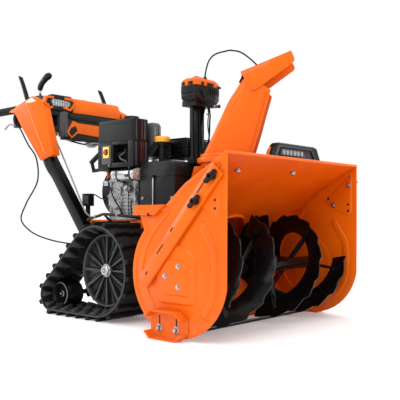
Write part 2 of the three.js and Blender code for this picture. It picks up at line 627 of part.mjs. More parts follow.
// Muffler standing ahead of the cylinder, held by its exhaust pipe.
function muffler() {
  const can = box(-8, 150, 528, 640, 632, 716);
  const pipe = rod(V(138, 616, 560), V(138, 716 - GAP, 560), 16, 16);
  const elbow = rod(V(138, 620, 548), V(138, 620, 640), 16, 16);
  return solid([can, pipe, elbow]);
}
piece("muffler", muffler(), BLACK_STEEL);

const OIL = { x: -66, y: 614, seat: 698 };
function oilFillTube() {
  const bend = [V(-54, 684, 470), V(-55, 664, 472), V(-64, OIL.y + 6, 500)];
  const neck = tube([...bend, above(OIL, 600), above(OIL, OIL.seat - 4)], 13, 12, 10);
  const rim = rod(above(OIL, OIL.seat - 12), above(OIL, OIL.seat), 22, 16);
  return solid([neck, rim]);
}
piece("oil_fill_tube", oilFillTube(), BLACK_PLASTIC);
piece("oil_cap", rod(above(OIL, OIL.seat + GAP), above(OIL, OIL.seat + 24), 31, 26, 24), YELLOW);

// Guard over the belts between the engine and the intake.
function beltCover() {
  const crown = arcPoints(500, 580, 35, 180, 90, 5);
  const side = [[658, 390], [465, 446], ...crown, [658, 615]];
  const hollow = [[652, 370], [471, 400], [471, 580], [505, 609], [652, 609]];
  const shell = alongX(outline(side), -150, 112);
  const postNotch = box(-72, 60, 440, 520, 500, 640);
  const neckNotch = box(-86, 86, 440, 492, 300, 600);
  const engineNotch = box(-100, 120, 592, 700, 370, 640);
  return solid([shell], [alongX(outline(hollow), -145, 107), postNotch, neckNotch, engineNotch]);
}
piece("belt_cover", beltCover(), BLACK_PLASTIC);

// ---- handlebars and console ----
function legLine(side) {
  const top = V(side * LEG_TOP.x, LEG_TOP.y, LEG_TOP.z);
  const foot = V(side * LEG_FOOT.x, LEG_FOOT.y, LEG_FOOT.z);
  return [foot, top];
}

// The crossbar between the legs runs through the console, above the open underside.
const CROSSBAR = { y: 1220, z: 790, height: 20, depth: 26 };
function crossbarHole(x0, x1) {
  const { y, z, height, depth } = CROSSBAR;
  const gap = 2;
  return box(x0, x1, y - depth / 2 - gap, y + depth / 2 + gap, z - height / 2 - gap, z + height / 2 + gap);
}

function handlebarFrame() {
  const parts = [];
  for (const side of SIDE) {
    const [foot, top] = legLine(side);
    parts.push(bar(foot, top, 52, 38, V(0, 1, 0)));
    parts.push(bar(top, V(side * LEG_TOP.x, 1228, 840), 46, 26, V(0, 1, 0)));
    parts.push(rod(V(side * GRIP.x, 1226, 836), V(side * GRIP.x, 1290, GRIP.z), 12, 16));
    parts.push(rod(V(side * GRIP.x, 1285, GRIP.z), V(side * GRIP.x, LENGTH - 8, GRIP.z), 12, 16));
  }
  const { y, z, height, depth } = CROSSBAR;
  parts.push(bar(V(-LEG_TOP.x, y, z), V(LEG_TOP.x, y, z), height, depth, V(0, 0, 1)));
  parts.push(box(-GRIP.x - 12, -GRIP.x + 12, 1366, 1396, 806, GRIP.z));
  const clear = CHASSIS.half + GAP;
  return solid(parts, [box(-clear, clear, 900, 1100, 200, 420)]);
}
piece("handlebar_frame", handlebarFrame(), BLACK_STEEL);

// Rubber sleeve with a closed end, on each handle.
function grip(side) {
  const x = side * GRIP.x;
  const sleeve = rod(V(x, GRIP.start, GRIP.z), V(x, LENGTH, GRIP.z), GRIP.r, 24);
  const bore = rod(V(x, GRIP.start - 10, GRIP.z), V(x, LENGTH - 8 + GAP, GRIP.z), 12 + GAP, 16);
  return solid([sleeve], [bore]);
}

// Folded side cover over the bend of the handlebar: its outer face has a ridge down the middle.
const SHROUD = { inner: 214, edge: 250, ridge: 270 };
const SHROUD_EDGE = [[1247, 935], [1437, 885], [1183, 643], [1090, 665], [1172, 900]];
const SHROUD_RIDGE = [[1262, 900], [1132, 680]];
const SHROUD_BACK = [[1378, 872], [1183, 643]]; // rear edge, cut back under the tip

function shroudBody(side, inset) {
  const { inner, edge, ridge } = SHROUD;
  const middle = [1216, 806];
  const shrink = ([y, z]) => {
    const reach = Math.hypot(y - middle[0], z - middle[1]);
    const k = 1 - inset / reach;
    return [middle[0] + (y - middle[0]) * k, middle[1] + (z - middle[1]) * k];
  };
  const points = [];
  for (const at of SHROUD_EDGE.map(shrink)) {
    points.push(V(side * (inner - inset * 4), ...at), V(side * (edge - inset), ...at));
  }
  for (const at of SHROUD_RIDGE.map(shrink)) points.push(V(side * (ridge - inset), ...at));
  const back = SHROUD_BACK.map(([y, z]) => [y - inset, z + inset * 0.8]);
  const behind = outline([...back, [1250, 560], [1500, 760], [1500, 892 + inset]]);
  return solid([new ConvexGeometry(points)], [alongX(behind, -300, 300)]);
}

function shroud(side) {
  const legs = [];
  const [foot, top] = legLine(side);
  legs.push(bar(foot, top, 60, 44, V(0, 1, 0)));
  const span = (a, b) => [Math.min(side * a, side * b), Math.max(side * a, side * b)];
  const slot = box(...span(200, 246), CLUTCH.y - 14, 1480, 868, 990);
  const handle = rod(V(side * GRIP.x, 1240, GRIP.z), V(side * GRIP.x, LENGTH, GRIP.z), GRIP.r + 3, 16);
  const crossbar = crossbarHole(...span(180, 240));
  const clamp = box(...span(200, 245), 1362, 1400, 800, 900);
  return solid([shroudBody(side, 0)], [shroudBody(side, 6), ...legs, slot, handle, crossbar, clamp]);
}

// Flat lever on each handle, standing up when let go; it folds down on to the grip.
function clutchLever(side) {
  const x = side * CLUTCH.x;
  const tip = V(x, 1366, 1042);
  const blade = bar(V(x, CLUTCH.y, CLUTCH.z), tip, 16, 9, V(1, 0, 0));
  const hub = rod(V(x - 8, CLUTCH.y, CLUTCH.z), V(x + 8, CLUTCH.y, CLUTCH.z), 8, 16);
  return solid([blade, hub, rod(V(x - 8, tip.y, tip.z), V(x + 8, tip.y, tip.z), 6, 12)]);
}

for (const side of SIDE) {
  piece(`grip_${SIDE_NAME[side]}`, grip(side), RUBBER);
  piece(`shroud_${SIDE_NAME[side]}`, shroud(side), ORANGE);
  piece(`clutch_lever_${SIDE_NAME[side]}`, clutchLever(side), BLACK_PLASTIC);
}

const CONSOLE = { half: 212, front: 1190 };
const STICK = { x: -184, y: 1283, z: 905 };
function consoleBody() {
  const { half, front } = CONSOLE;
  const shell = [
    [front + 6, 778], [front, 890], [front + 14, 930],
    [1240, 944], [1330, 944], [1346, 900], [1330, 790],
  ];
  const hollow = [
    [front + 14, 760], [front + 10, 888], [front + 22, 924],
    [1242, 938], [1326, 938], [1336, 890], [1322, 760],
  ];
  const panel = box(-132, half, front - 22, front + 16, 746, 868);
  const window = box(-200, -158, 1100, 1260, 800, 858);
  const slot = box(STICK.x - 8, STICK.x + 8, STICK.y - 36, STICK.y + 36, 930, 960);
  const ends = box(-half + 5, half - 5, front + 10, 1322, 700, 880);
  return solid([alongX(outline(shell), -half, half), panel], [
    alongX(outline(hollow), -half + 5, half - 5),
    ends,
    window,
    slot,
    crossbarHole(-half - 2, half + 2),
  ]);
}
piece("console_body", consoleBody(), BLACK_PLASTIC);

function consoleCover() {
  const front = CONSOLE.front - GAP;
  const shell = [
    [front, 872], [front - 15, 872], [front - 15, 906], [front + 4, 940], [1238, 952], [1330, 952],
    [1330, 944 + GAP], [1240, 944 + GAP], [front + 13, 930 + GAP], [front, 890],
  ];
  return solid([alongX(outline(shell), -78, CONSOLE.half)]);
}
piece("console_cover", consoleCover(), ORANGE);

// Long head lamp across the operator's right half of the console.
function headlight() {
  const y = CONSOLE.front - GAP;
  const face = outline([[-208, 908], [-196, 936], [-98, 936], [-84, 908], [-98, 884], [-196, 884]]);
  return solid([alongY(face, y - 16, y)]);
}
piece("headlight", headlight(), LENS);

function speedLever() {
  const { x, y, z } = STICK;
  const stem = rod(V(x, y, z), V(x, y - 2, 984), 5, 14);
  const ball = rod(V(x - 7, y, z), V(x + 7, y, z), 10, 16);
  return solid([stem, ball, rod(V(x, y, 978), V(x, 1212, 1034), 13, 16, 17)]);
}
piece("speed_lever", speedLever(), BLACK_PLASTIC);

// Thin lever that releases the track lock, hinged on a clamp ahead of the right grip.
const LOCK = { x: -251, y: 1384, z: 816 };
function lockLever() {
  const { x, y, z } = LOCK;
  const pivot = rod(V(x - 6, y, z), V(x + 6, y, z), 7, 16);
  const blade = [V(x, y, z), V(x, 1412, 822), V(x, 1440, 817), V(x, 1466, 803)];
  return solid([pivot, tube(blade, 5, 10, 8)]);
}
piece("lock_lever", lockLever(), STEEL);

// Lock cable: down beside the right leg, out behind it in a loose bow, and forward to the chassis wall.
const LOCK_ROUTE = [
  [-240, 1362, 806], [-258, 1322, 788], [-262, 1260, 718], [-258, 1205, 657],
  [-232, 1228, 562], [-216, 1345, 450], [-200, 1403, 380], [-181, 1360, 330],
  [-162, 1207, 288], [-146, 1010, 280], [-138, 906, 306],
];
piece("lock_cable", tube(LOCK_ROUTE.map((at) => V(...at)), 3.5, 8, 66), RUBBER);

// Deflector cable: one bow from the gearbox top to the roof of the cap.
const DEFLECTOR_ROUTE = [
  [4, 446, 949], [3, 440, 976], [-5, 417, 1010], [-7, 382, 1030],
  [9, 325, 1039], [31, 292, 1031], [51, 262, 1006], [73, 228, 968],
];
piece("deflector_cable", tube(DEFLECTOR_ROUTE.map((at) => V(...at)), 3, 8, 26), RUBBER);

// Pull handle of the recoil starter: a D-shaped loop on a short stem.
const RECOIL = { x: -70, y: 926 + 2 * GAP, z: 618, reach: 50 };
function recoilHandle() {
  const { x, y, z, reach } = RECOIL;
  const root = y + reach;
  const loop = [[root, z - 14], [root, z + 66], [root + 74, z + 22], [root + 60, z - 18]];
  const parts = [rod(V(x, y, z), V(x, root, z), 9, 14)];
  loop.forEach(([y0, z0], i) => {
    const [y1, z1] = loop[(i + 1) % loop.length];
    const overlap = 5;
    const reachOut = V(0, y1 - y0, z1 - z0).setLength(overlap);
    parts.push(rod(V(x, y0, z0).sub(reachOut), V(x, y1, z1).add(reachOut), i === 1 ? 11 : 8, 8));
  });
  return solid(parts);
}
piece("recoil_handle", recoilHandle(), BLACK_PLASTIC);

export default machine;
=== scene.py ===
# %% [markdown]
# # A walk-behind snow blower on tracks
# The frame of this machine is already made: every plate, wheel and lever stands where it works.
# This lesson dresses it. We load the frame, give each of its pieces a real finish, and then build the
# pressed ribs, bolts, rubber lugs, hoses and lamps that turn plain solids into a machine.

# %% Load the frame
import json
import math
import bmesh
import bpy
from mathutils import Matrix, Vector
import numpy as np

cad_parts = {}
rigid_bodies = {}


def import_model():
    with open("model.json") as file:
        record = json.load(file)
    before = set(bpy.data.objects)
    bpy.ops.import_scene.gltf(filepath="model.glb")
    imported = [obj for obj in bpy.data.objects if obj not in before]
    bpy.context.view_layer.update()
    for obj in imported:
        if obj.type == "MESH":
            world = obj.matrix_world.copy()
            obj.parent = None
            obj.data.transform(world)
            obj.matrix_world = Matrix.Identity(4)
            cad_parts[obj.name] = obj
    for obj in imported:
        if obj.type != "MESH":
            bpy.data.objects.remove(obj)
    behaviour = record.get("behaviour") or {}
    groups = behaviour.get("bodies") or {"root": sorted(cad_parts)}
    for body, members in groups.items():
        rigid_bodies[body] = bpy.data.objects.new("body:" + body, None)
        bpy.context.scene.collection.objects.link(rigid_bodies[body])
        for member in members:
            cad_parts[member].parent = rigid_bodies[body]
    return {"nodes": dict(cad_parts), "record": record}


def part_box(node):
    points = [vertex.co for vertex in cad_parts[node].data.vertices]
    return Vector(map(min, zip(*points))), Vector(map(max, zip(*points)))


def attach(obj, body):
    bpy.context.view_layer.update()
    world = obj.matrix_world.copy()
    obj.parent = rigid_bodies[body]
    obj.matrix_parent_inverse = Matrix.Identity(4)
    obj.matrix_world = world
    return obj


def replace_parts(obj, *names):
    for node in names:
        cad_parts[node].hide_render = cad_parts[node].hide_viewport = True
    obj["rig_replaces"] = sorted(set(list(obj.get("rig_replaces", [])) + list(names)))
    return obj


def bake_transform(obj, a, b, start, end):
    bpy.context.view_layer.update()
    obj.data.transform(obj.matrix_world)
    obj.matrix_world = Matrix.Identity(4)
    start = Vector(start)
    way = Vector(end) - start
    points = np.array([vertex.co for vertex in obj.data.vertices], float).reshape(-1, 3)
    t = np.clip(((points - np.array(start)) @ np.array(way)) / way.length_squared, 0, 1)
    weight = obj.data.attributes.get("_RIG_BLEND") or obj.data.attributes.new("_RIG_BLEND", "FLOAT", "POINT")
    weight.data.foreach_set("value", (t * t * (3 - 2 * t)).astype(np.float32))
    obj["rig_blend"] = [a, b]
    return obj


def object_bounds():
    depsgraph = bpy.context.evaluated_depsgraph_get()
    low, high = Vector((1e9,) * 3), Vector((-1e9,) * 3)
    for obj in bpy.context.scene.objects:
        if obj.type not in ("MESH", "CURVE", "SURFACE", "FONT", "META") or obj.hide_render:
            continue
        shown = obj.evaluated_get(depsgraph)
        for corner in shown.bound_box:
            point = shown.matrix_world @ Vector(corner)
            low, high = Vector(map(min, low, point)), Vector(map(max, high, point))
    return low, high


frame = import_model()
cad_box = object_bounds()
print("the frame spans", cad_box)

# %% [markdown]
# A workshop measures a machine in millimetres, and from the front edge of the intake backwards.
# Blender wants metres with the origin under the middle of the machine. One small helper turns the first
# into the second, so that every size below can be read with a ruler in hand.

# %% Millimetres from the intake's front edge
FRONT = cad_box[0][1]
MM = 0.001
SIDES = {"right": -1, "left": 1}


def place(x, y, z):
    """A point x to the operator's left, y behind the intake's front edge and z above the ground."""
    return Vector((x * MM, FRONT + y * MM, z * MM))


def direction(x, y, z):
    """A unit vector; it has no place, so nothing is added to it."""
    return Vector((x, y, z)).normalized()


print("the front edge is at", place(0, 0, 0))

# %% [markdown]
# ## The camera, floor and lamps
# The machine is seen from its front right corner, from a little under half its height, so the intake
# looks large and the handlebars fall away behind. A white sweep and four broad square lamps keep the
# shadows soft, and their reflections draw the light edges along the folded sheet metal.

# %% Camera
CAMERA_SPOT = Vector((-1.979, -2.063, 0.407))
CAMERA_YAW = math.radians(41.27)
CAMERA_PITCH = math.radians(1.23)
SENSOR = 36
LENS = 59.75
camera_data = bpy.data.cameras.new("camera")
camera_data.sensor_width = SENSOR
camera_data.lens = LENS
camera = bpy.data.objects.new("camera", camera_data)
camera.location = CAMERA_SPOT
camera.rotation_euler = (math.pi / 2 + CAMERA_PITCH, 0, CAMERA_YAW - math.pi / 2)
bpy.context.scene.collection.objects.link(camera)
bpy.context.scene.camera = camera
print("the camera is", round(CAMERA_SPOT.length, 2), "m away, with a", LENS, "mm lens")

# %% Floor and light


def area_lamp(name, spot, size, power):
    """A square lamp that faces the middle of the machine."""
    data = bpy.data.lights.new(name, "AREA")
    data.size = size
    data.energy = power
    lamp = bpy.data.objects.new(name, data)
    lamp.location = spot
    lamp.rotation_euler = (Vector((0, -0.1, 0.45)) - Vector(spot)).to_track_quat("-Z", "Y").to_euler()
    bpy.context.scene.collection.objects.link(lamp)


area_lamp("key_lamp", (-3.2, -1.2, 3.0), 2.2, 62)
area_lamp("top_lamp", (0.4, 0.2, 4.2), 3.0, 62)
area_lamp("front_lamp", (0.9, -4.2, 1.6), 2.2, 38)
area_lamp("rear_lamp", (-1.4, 3.4, 2.0), 2.0, 40)
world = bpy.data.worlds.new("pale_studio")
world.use_nodes = True
world.node_tree.nodes["Background"].inputs["Color"].default_value = (1, 1, 1, 1)
world.node_tree.nodes["Background"].inputs["Strength"].default_value = 1.0
bpy.context.scene.world = world
bpy.context.scene.view_settings.view_transform = "Standard"
FLOOR_HALF = 14
floor_mesh = bpy.data.meshes.new("floor")
corners = [(-1, -1), (1, -1), (1, 1), (-1, 1)]
floor_mesh.from_pydata([(FLOOR_HALF * u, FLOOR_HALF * v, 0) for u, v in corners], [], [(0, 1, 2, 3)])
floor = bpy.data.objects.new("floor", floor_mesh)
bpy.context.scene.collection.objects.link(floor)
sweep = bpy.data.materials.new("white_sweep")
sweep.use_nodes = True
SWEEP = {
    "Base Color": (0.9, 0.9, 0.9, 1), "Roughness": 0.9, "Specular IOR Level": 0.1,
    "Emission Color": (1, 1, 1, 1), "Emission Strength": 0.14,
}
for socket, value in SWEEP.items():
    sweep.node_tree.nodes["Principled BSDF"].inputs[socket].default_value = value
floor_mesh.materials.append(sweep)
print("four lamps and a floor", 2 * FLOOR_HALF, "m across")

# %% [markdown]
# ## Writing a finish as a sum
# A material in Blender is a graph of nodes. Drawing it by hand is slow to read back, so we wrap one
# output of a node in a small class whose plus, minus and times add the Math nodes for us. A worn edge is
# then one readable line, such as `0.3 + 0.1 * scuffs`.

# %% One value in a material


class Wire:
    """An output of a node. Sums of wires add Math nodes to the same material."""

    def __init__(self, tree, socket):
        self.tree = tree
        self.socket = socket

    def node(self, kind, settings=None, inputs=None, output=0):
        """Adds one node: its settings first, then the values or wires of its sockets."""
        made = self.tree.nodes.new(kind)
        for key, value in (settings or {}).items():
            setattr(made, key, value)
        for key, value in (inputs or {}).items():
            if isinstance(value, Wire):
                self.tree.links.new(value.socket, made.inputs[key])
            else:
                made.inputs[key].default_value = value
        return Wire(self.tree, made.outputs[output])

    def maths(self, operation, *values):
        return self.node("ShaderNodeMath", {"operation": operation}, dict(enumerate(values)))

    def __add__(self, other):
        return self.maths("ADD", self, other)

    def __radd__(self, other):
        return self.maths("ADD", other, self)

    def __sub__(self, other):
        return self.maths("SUBTRACT", self, other)

    def __rsub__(self, other):
        return self.maths("SUBTRACT", other, self)

    def __mul__(self, other):
        return self.maths("MULTIPLY", self, other)

    def __rmul__(self, other):
        return self.maths("MULTIPLY", other, self)

    def step(self, low, high):
        """0 below low, 1 above high, and a smooth rise between them."""
        inputs = {"Value": self, "From Min": low, "From Max": high}
        return self.node("ShaderNodeMapRange", {"interpolation_type": "SMOOTHSTEP"}, inputs)

    def mix(self, low, high):
        """The colour low where this wire is 0, and high where it is 1."""
        return self.node("ShaderNodeMix", {"data_type": "RGBA"}, {0: self, 6: low, 7: high}, output=2)


print("sums become nodes:", [name for name in vars(Wire) if name.startswith("__r")])

# %% [markdown]
# Every finish starts from two measures of the surface: where a point is, and how noisy the surface is
# there. A finish function turns these into a colour, a roughness and a bump, and the helper below plugs
# the three into a Principled shader.

# %% A finish and its surface


def colour(red, green, blue):
    return (red, green, blue, 1)


class Surface(Wire):
    """The start of a material: noise and positions in object space, and the shader that they end in."""

    def __init__(self, name, **fixed):
        self.material = bpy.data.materials.new(name)
        self.material.use_nodes = True
        super().__init__(self.material.node_tree, None)
        self.shader = self.tree.nodes["Principled BSDF"]
        for key, value in fixed.items():
            self.shader.inputs[key.replace("_", " ").title().replace("Ior", "IOR")].default_value = value
        self.where = self.node("ShaderNodeTexCoord", output=3)

    def noise(self, scale, detail=3, stretch=(1, 1, 1)):
        """Soft noise; scale is its grain per metre, and stretch draws it out along an axis."""
        placed = self.node("ShaderNodeMapping", {}, {"Vector": self.where, "Scale": stretch})
        return self.node("ShaderNodeTexNoise", {}, {"Vector": placed, "Scale": scale, "Detail": detail})

    def cells(self, scale):
        return self.node("ShaderNodeTexVoronoi", {}, {"Vector": self.where, "Scale": scale})

    def height(self):
        return self.node("ShaderNodeSeparateXYZ", {}, {"Vector": self.where}, output=2)

    def finish(self, base, roughness, bump, depth, strength=0.5):
        """Plugs the colour, roughness and bump in. Depth is the bump's real height in metres."""
        inputs = {"Height": bump, "Distance": depth, "Strength": strength}
        bumped = self.node("ShaderNodeBump", {}, inputs)
        for key, value in {"Base Color": base, "Roughness": roughness, "Normal": bumped}.items():
            self.tree.links.new(value.socket, self.shader.inputs[key])
        return self.material


print("a surface gives noise, cells and height")

# %% [markdown]
# ## The paints, plastics, rubber and metals
# Powder coat is baked from dust, so it keeps a faint orange-peel ripple under a hard gloss. Moulded
# plastic has a fine spark-eroded grain and no gloss. Rubber is dull, greys where it rubs and holds dust
# near the ground. Cast aluminium is pitted, and plated steel has drawn lines. Each finish here is one
# short function or one row of a table, so that two pieces of the same stuff share one material.

# %% Orange powder coat
ORANGE = colour(0.70, 0.108, 0.0015)
ORANGE_LIT = colour(0.75, 0.124, 0.002)
DUST = colour(0.42, 0.36, 0.30)


def orange_paint():
    coat = Surface("orange_powder_coat", coat_weight=0.16, coat_roughness=0.06, specular_ior_level=0.12)
    peel = coat.noise(420, 2)
    cloud = coat.noise(5, 3)
    dust = (1 - coat.height().step(0.0, 0.16)) * coat.noise(38, 5).step(0.45, 0.75) * 0.16
    base = dust.mix(cloud.step(0.3, 0.7).mix(ORANGE, ORANGE_LIT), DUST)
    roughness = 0.27 + 0.09 * coat.noise(60, 4) + 0.5 * dust
    return coat.finish(base, roughness, peel, 0.0002, 0.22)


def orange_painted_shade():
    """The same coat made deeper as painted shade, for the inner housings."""
    coat = Surface("orange_coat_painted_shade", coat_weight=0.10, coat_roughness=0.08, specular_ior_level=0.10)
    base = coat.noise(6, 4).step(0.3, 0.7).mix(colour(0.56, 0.060, 0.0008), colour(0.64, 0.078, 0.001))
    return coat.finish(base, 0.26 + 0.12 * coat.noise(50, 5), coat.noise(420, 2), 0.0002, 0.25)


def orange_plastic():
    shell = Surface("orange_moulding", coat_weight=0.10, coat_roughness=0.20, specular_ior_level=0.12)
    cloud = shell.noise(9, 3)
    base = cloud.step(0.3, 0.7).mix(ORANGE, ORANGE_LIT)
    roughness = 0.36 + 0.10 * shell.noise(90, 4)
    return shell.finish(base, roughness, shell.noise(900, 2), 0.0002, 0.25)


# %% Black and grey finishes


def dark_finish(name, low, high, gloss, grain, depth, strength, specular):
    """A dark surface whose colour drifts from low to high, with its own gloss and grain."""
    skin = Surface(name, specular_ior_level=specular)
    drift = skin.noise(14, 4).step(0.3, 0.7)
    rubbed = skin.noise(46, 6).step(0.55, 0.8)
    base = (0.6 * drift + 0.4 * rubbed).mix(colour(*low), colour(*high))
    roughness = gloss + 0.14 * skin.noise(70, 5)
    return skin.finish(base, roughness, skin.noise(grain, 3), depth, strength)


DARK = {
    "black_steel": ("black_satin_paint", (0.0018, 0.0018, 0.002), (0.005, 0.005, 0.0055), 0.17, 300, 0.0001,
                    0.2, 0.16),
    "black_plastic": ("black_moulding", (0.0045, 0.0048, 0.005), (0.011, 0.0115, 0.012), 0.33, 1100, 0.0003,
                      0.4, 0.20),
    "grey_plastic": ("grey_moulding", (0.035, 0.037, 0.04), (0.07, 0.072, 0.076), 0.42, 1000, 0.0003, 0.4,
                     0.5),
    "wheel_plastic": ("wheel_moulding", (0.012, 0.0125, 0.013), (0.026, 0.0265, 0.027), 0.30, 900, 0.0002,
                      0.3, 0.5),
    # The web is a lighter copy of the wheel's own plastic: painted highlight.
    "web_painted_highlight": ("wheel_web_lit_copy", (0.03, 0.031, 0.032), (0.055, 0.056, 0.058), 0.26, 900, 0.0002, 0.3, 0.5),
    # A lighter rubber, painted highlight on the belt's edges and on the faces of its wedges.
    "rubber_painted_highlight": ("rubber_painted_highlight", (0.018, 0.018, 0.019), (0.05, 0.05, 0.052), 0.42, 700, 0.0003, 0.4,
                      0.5),
}


def rubber():
    tread = Surface("track_rubber", specular_ior_level=0.14)
    dust = (1 - tread.height().step(0.0, 0.30)) * tread.noise(55, 6).step(0.42, 0.72) * 0.07
    scuff = tread.noise(120, 5).step(0.5, 0.8)
    fresh = scuff.mix(colour(0.005, 0.005, 0.0055), colour(0.018, 0.018, 0.019))
    base = dust.mix(fresh, colour(0.16, 0.15, 0.14))
    roughness = 0.56 + 0.2 * scuff
    return tread.finish(base, roughness, tread.noise(650, 4), 0.0004, 0.5)


# %% Metals


def cast_alloy():
    block = Surface("cast_aluminium", metallic=0.85)
    grime = block.noise(90, 6).step(0.5, 0.8)
    base = grime.mix(colour(0.34, 0.345, 0.355), colour(0.15, 0.148, 0.145))
    roughness = 0.36 + 0.24 * block.noise(110, 5)
    return block.finish(base, roughness, block.cells(520), 0.0006, 0.6)


def plated_steel():
    plate = Surface("zinc_plate", metallic=1.0)
    lines = plate.noise(260, 2, (1, 1, 14))
    stain = plate.noise(32, 5).step(0.4, 0.8)
    base = stain.mix(colour(0.46, 0.47, 0.49), colour(0.30, 0.30, 0.30))
    roughness = 0.18 + 0.16 * lines
    return plate.finish(base, roughness, lines, 0.0001, 0.35)


def worn_edge():
    edge = Surface("rubbed_edge", metallic=0.8)
    bare = edge.noise(75, 5).step(0.30, 0.62)
    base = bare.mix(colour(0.30, 0.28, 0.27), colour(0.62, 0.60, 0.58))
    roughness = 0.22 + 0.2 * edge.noise(140, 4)
    return edge.finish(base, roughness, edge.noise(500, 3), 0.0002, 0.3)


# %% [markdown]
# Small caps, buttons and labels are coloured right through, so they need only a slight drift of colour and
# a soft shine. A lamp is harder, because its ribbed lens bends light into bands. Those bands are drawn as
# a wave in the colour and in the bump, which is far cheaper than tracing light through real glass.

# %% Small coloured parts


def bright_plastic(name, low, high):
    cap = Surface(name, coat_weight=0.2, coat_roughness=0.2)
    base = cap.noise(26, 4).step(0.3, 0.7).mix(colour(*low), colour(*high))
    return cap.finish(base, 0.3 + 0.1 * cap.noise(150, 4), cap.noise(900, 2), 0.0002, 0.25)


BRIGHT = {
    "yellow_plastic": ("yellow_cap", (0.86, 0.33, 0.004), (0.95, 0.42, 0.01)),
    "red_plastic": ("red_button", (0.50, 0.004, 0.003), (0.62, 0.012, 0.008)),
    "yellow_label": ("yellow_label", (0.80, 0.62, 0.02), (0.86, 0.68, 0.03)),
    "dark_red": ("dark_red_strip", (0.055, 0.006, 0.003), (0.085, 0.010, 0.005)),
    "light_grey": ("light_grey_flute", (0.19, 0.195, 0.20), (0.26, 0.265, 0.27)),
    # The next two rows are painted highlights: a lit line for the shroud's ridge and a glint for the facets
    # at its crown.
    "light_orange": ("ridge_highlight", (0.90, 0.33, 0.08), (0.95, 0.40, 0.12)),
    "glint": ("painted_glint_facet", (0.93, 0.66, 0.55), (0.95, 0.74, 0.65)),
    "end_cap": ("bronze_end_cap", (0.42, 0.28, 0.23), (0.50, 0.35, 0.30)),
}


def lamp_lens():
    """Ribbed clear lens over a bright reflector: the ribs are drawn as soft bands of light and dark."""
    lens = Surface("lamp_lens", coat_weight=1.0, coat_roughness=0.03, metallic=0.35)
    band = lens.node("ShaderNodeTexWave", {"bands_direction": "X"}, {"Vector": lens.where, "Scale": 34.0})
    glow = (0.65 * band + 0.35 * lens.noise(60, 3)).step(0.2, 0.8)
    base = glow.mix(colour(0.07, 0.078, 0.085), colour(0.48, 0.50, 0.52))
    return lens.finish(base, 0.08 + 0.1 * glow, band, 0.0005, 0.5)


FINISHES = {
    "orange_paint": orange_paint(),
    "orange_painted_shade": orange_painted_shade(),
    "orange_plastic": orange_plastic(),
    "rubber": rubber(),
    "engine_alloy": cast_alloy(),
    "bright_steel": plated_steel(),
    "worn_edge": worn_edge(),
    "lamp_lens": lamp_lens(),
}
FINISHES.update({slot: dark_finish(*facts) for slot, facts in DARK.items()})
FINISHES.update({slot: bright_plastic(*facts) for slot, facts in BRIGHT.items()})
print(len(FINISHES), "finishes:", ", ".join(FINISHES))

# %% [markdown]
# ## Gathering a shape
# Most parts of a machine are one of three things: an outline pushed through a thickness, a round profile
# spun about a line, or a section carried along a route. All three are rings of points joined one to the
# next, so one small class that joins rings can make them all, and can gather many into a single piece.

# %% Rings become a piece


def rectangle(u0, v0, u1, v1):
    return [(u0, v0), (u1, v0), (u1, v1), (u0, v1)]


def turns(count):
    """Equal angles round a full circle."""
    return [2 * math.pi * k / count for k in range(count)]


def level(axis, depth, outline):
    """An outline of two coordinates, set at a depth along the third axis."""
    if axis == "x":
        return [place(depth, u, v) for u, v in outline]
    if axis == "y":
        return [place(u, depth, v) for u, v in outline]
    return [place(u, v, depth) for u, v in outline]


def frame_of(axis):
    """Two unit vectors square to an axis and to each other."""
    along = Vector(axis).normalized()
    helper = Vector((0, 0, 1)) if abs(along.z) < 0.9 else Vector((0, 1, 0))
    across = helper.cross(along).normalized()
    return along, across, along.cross(across)


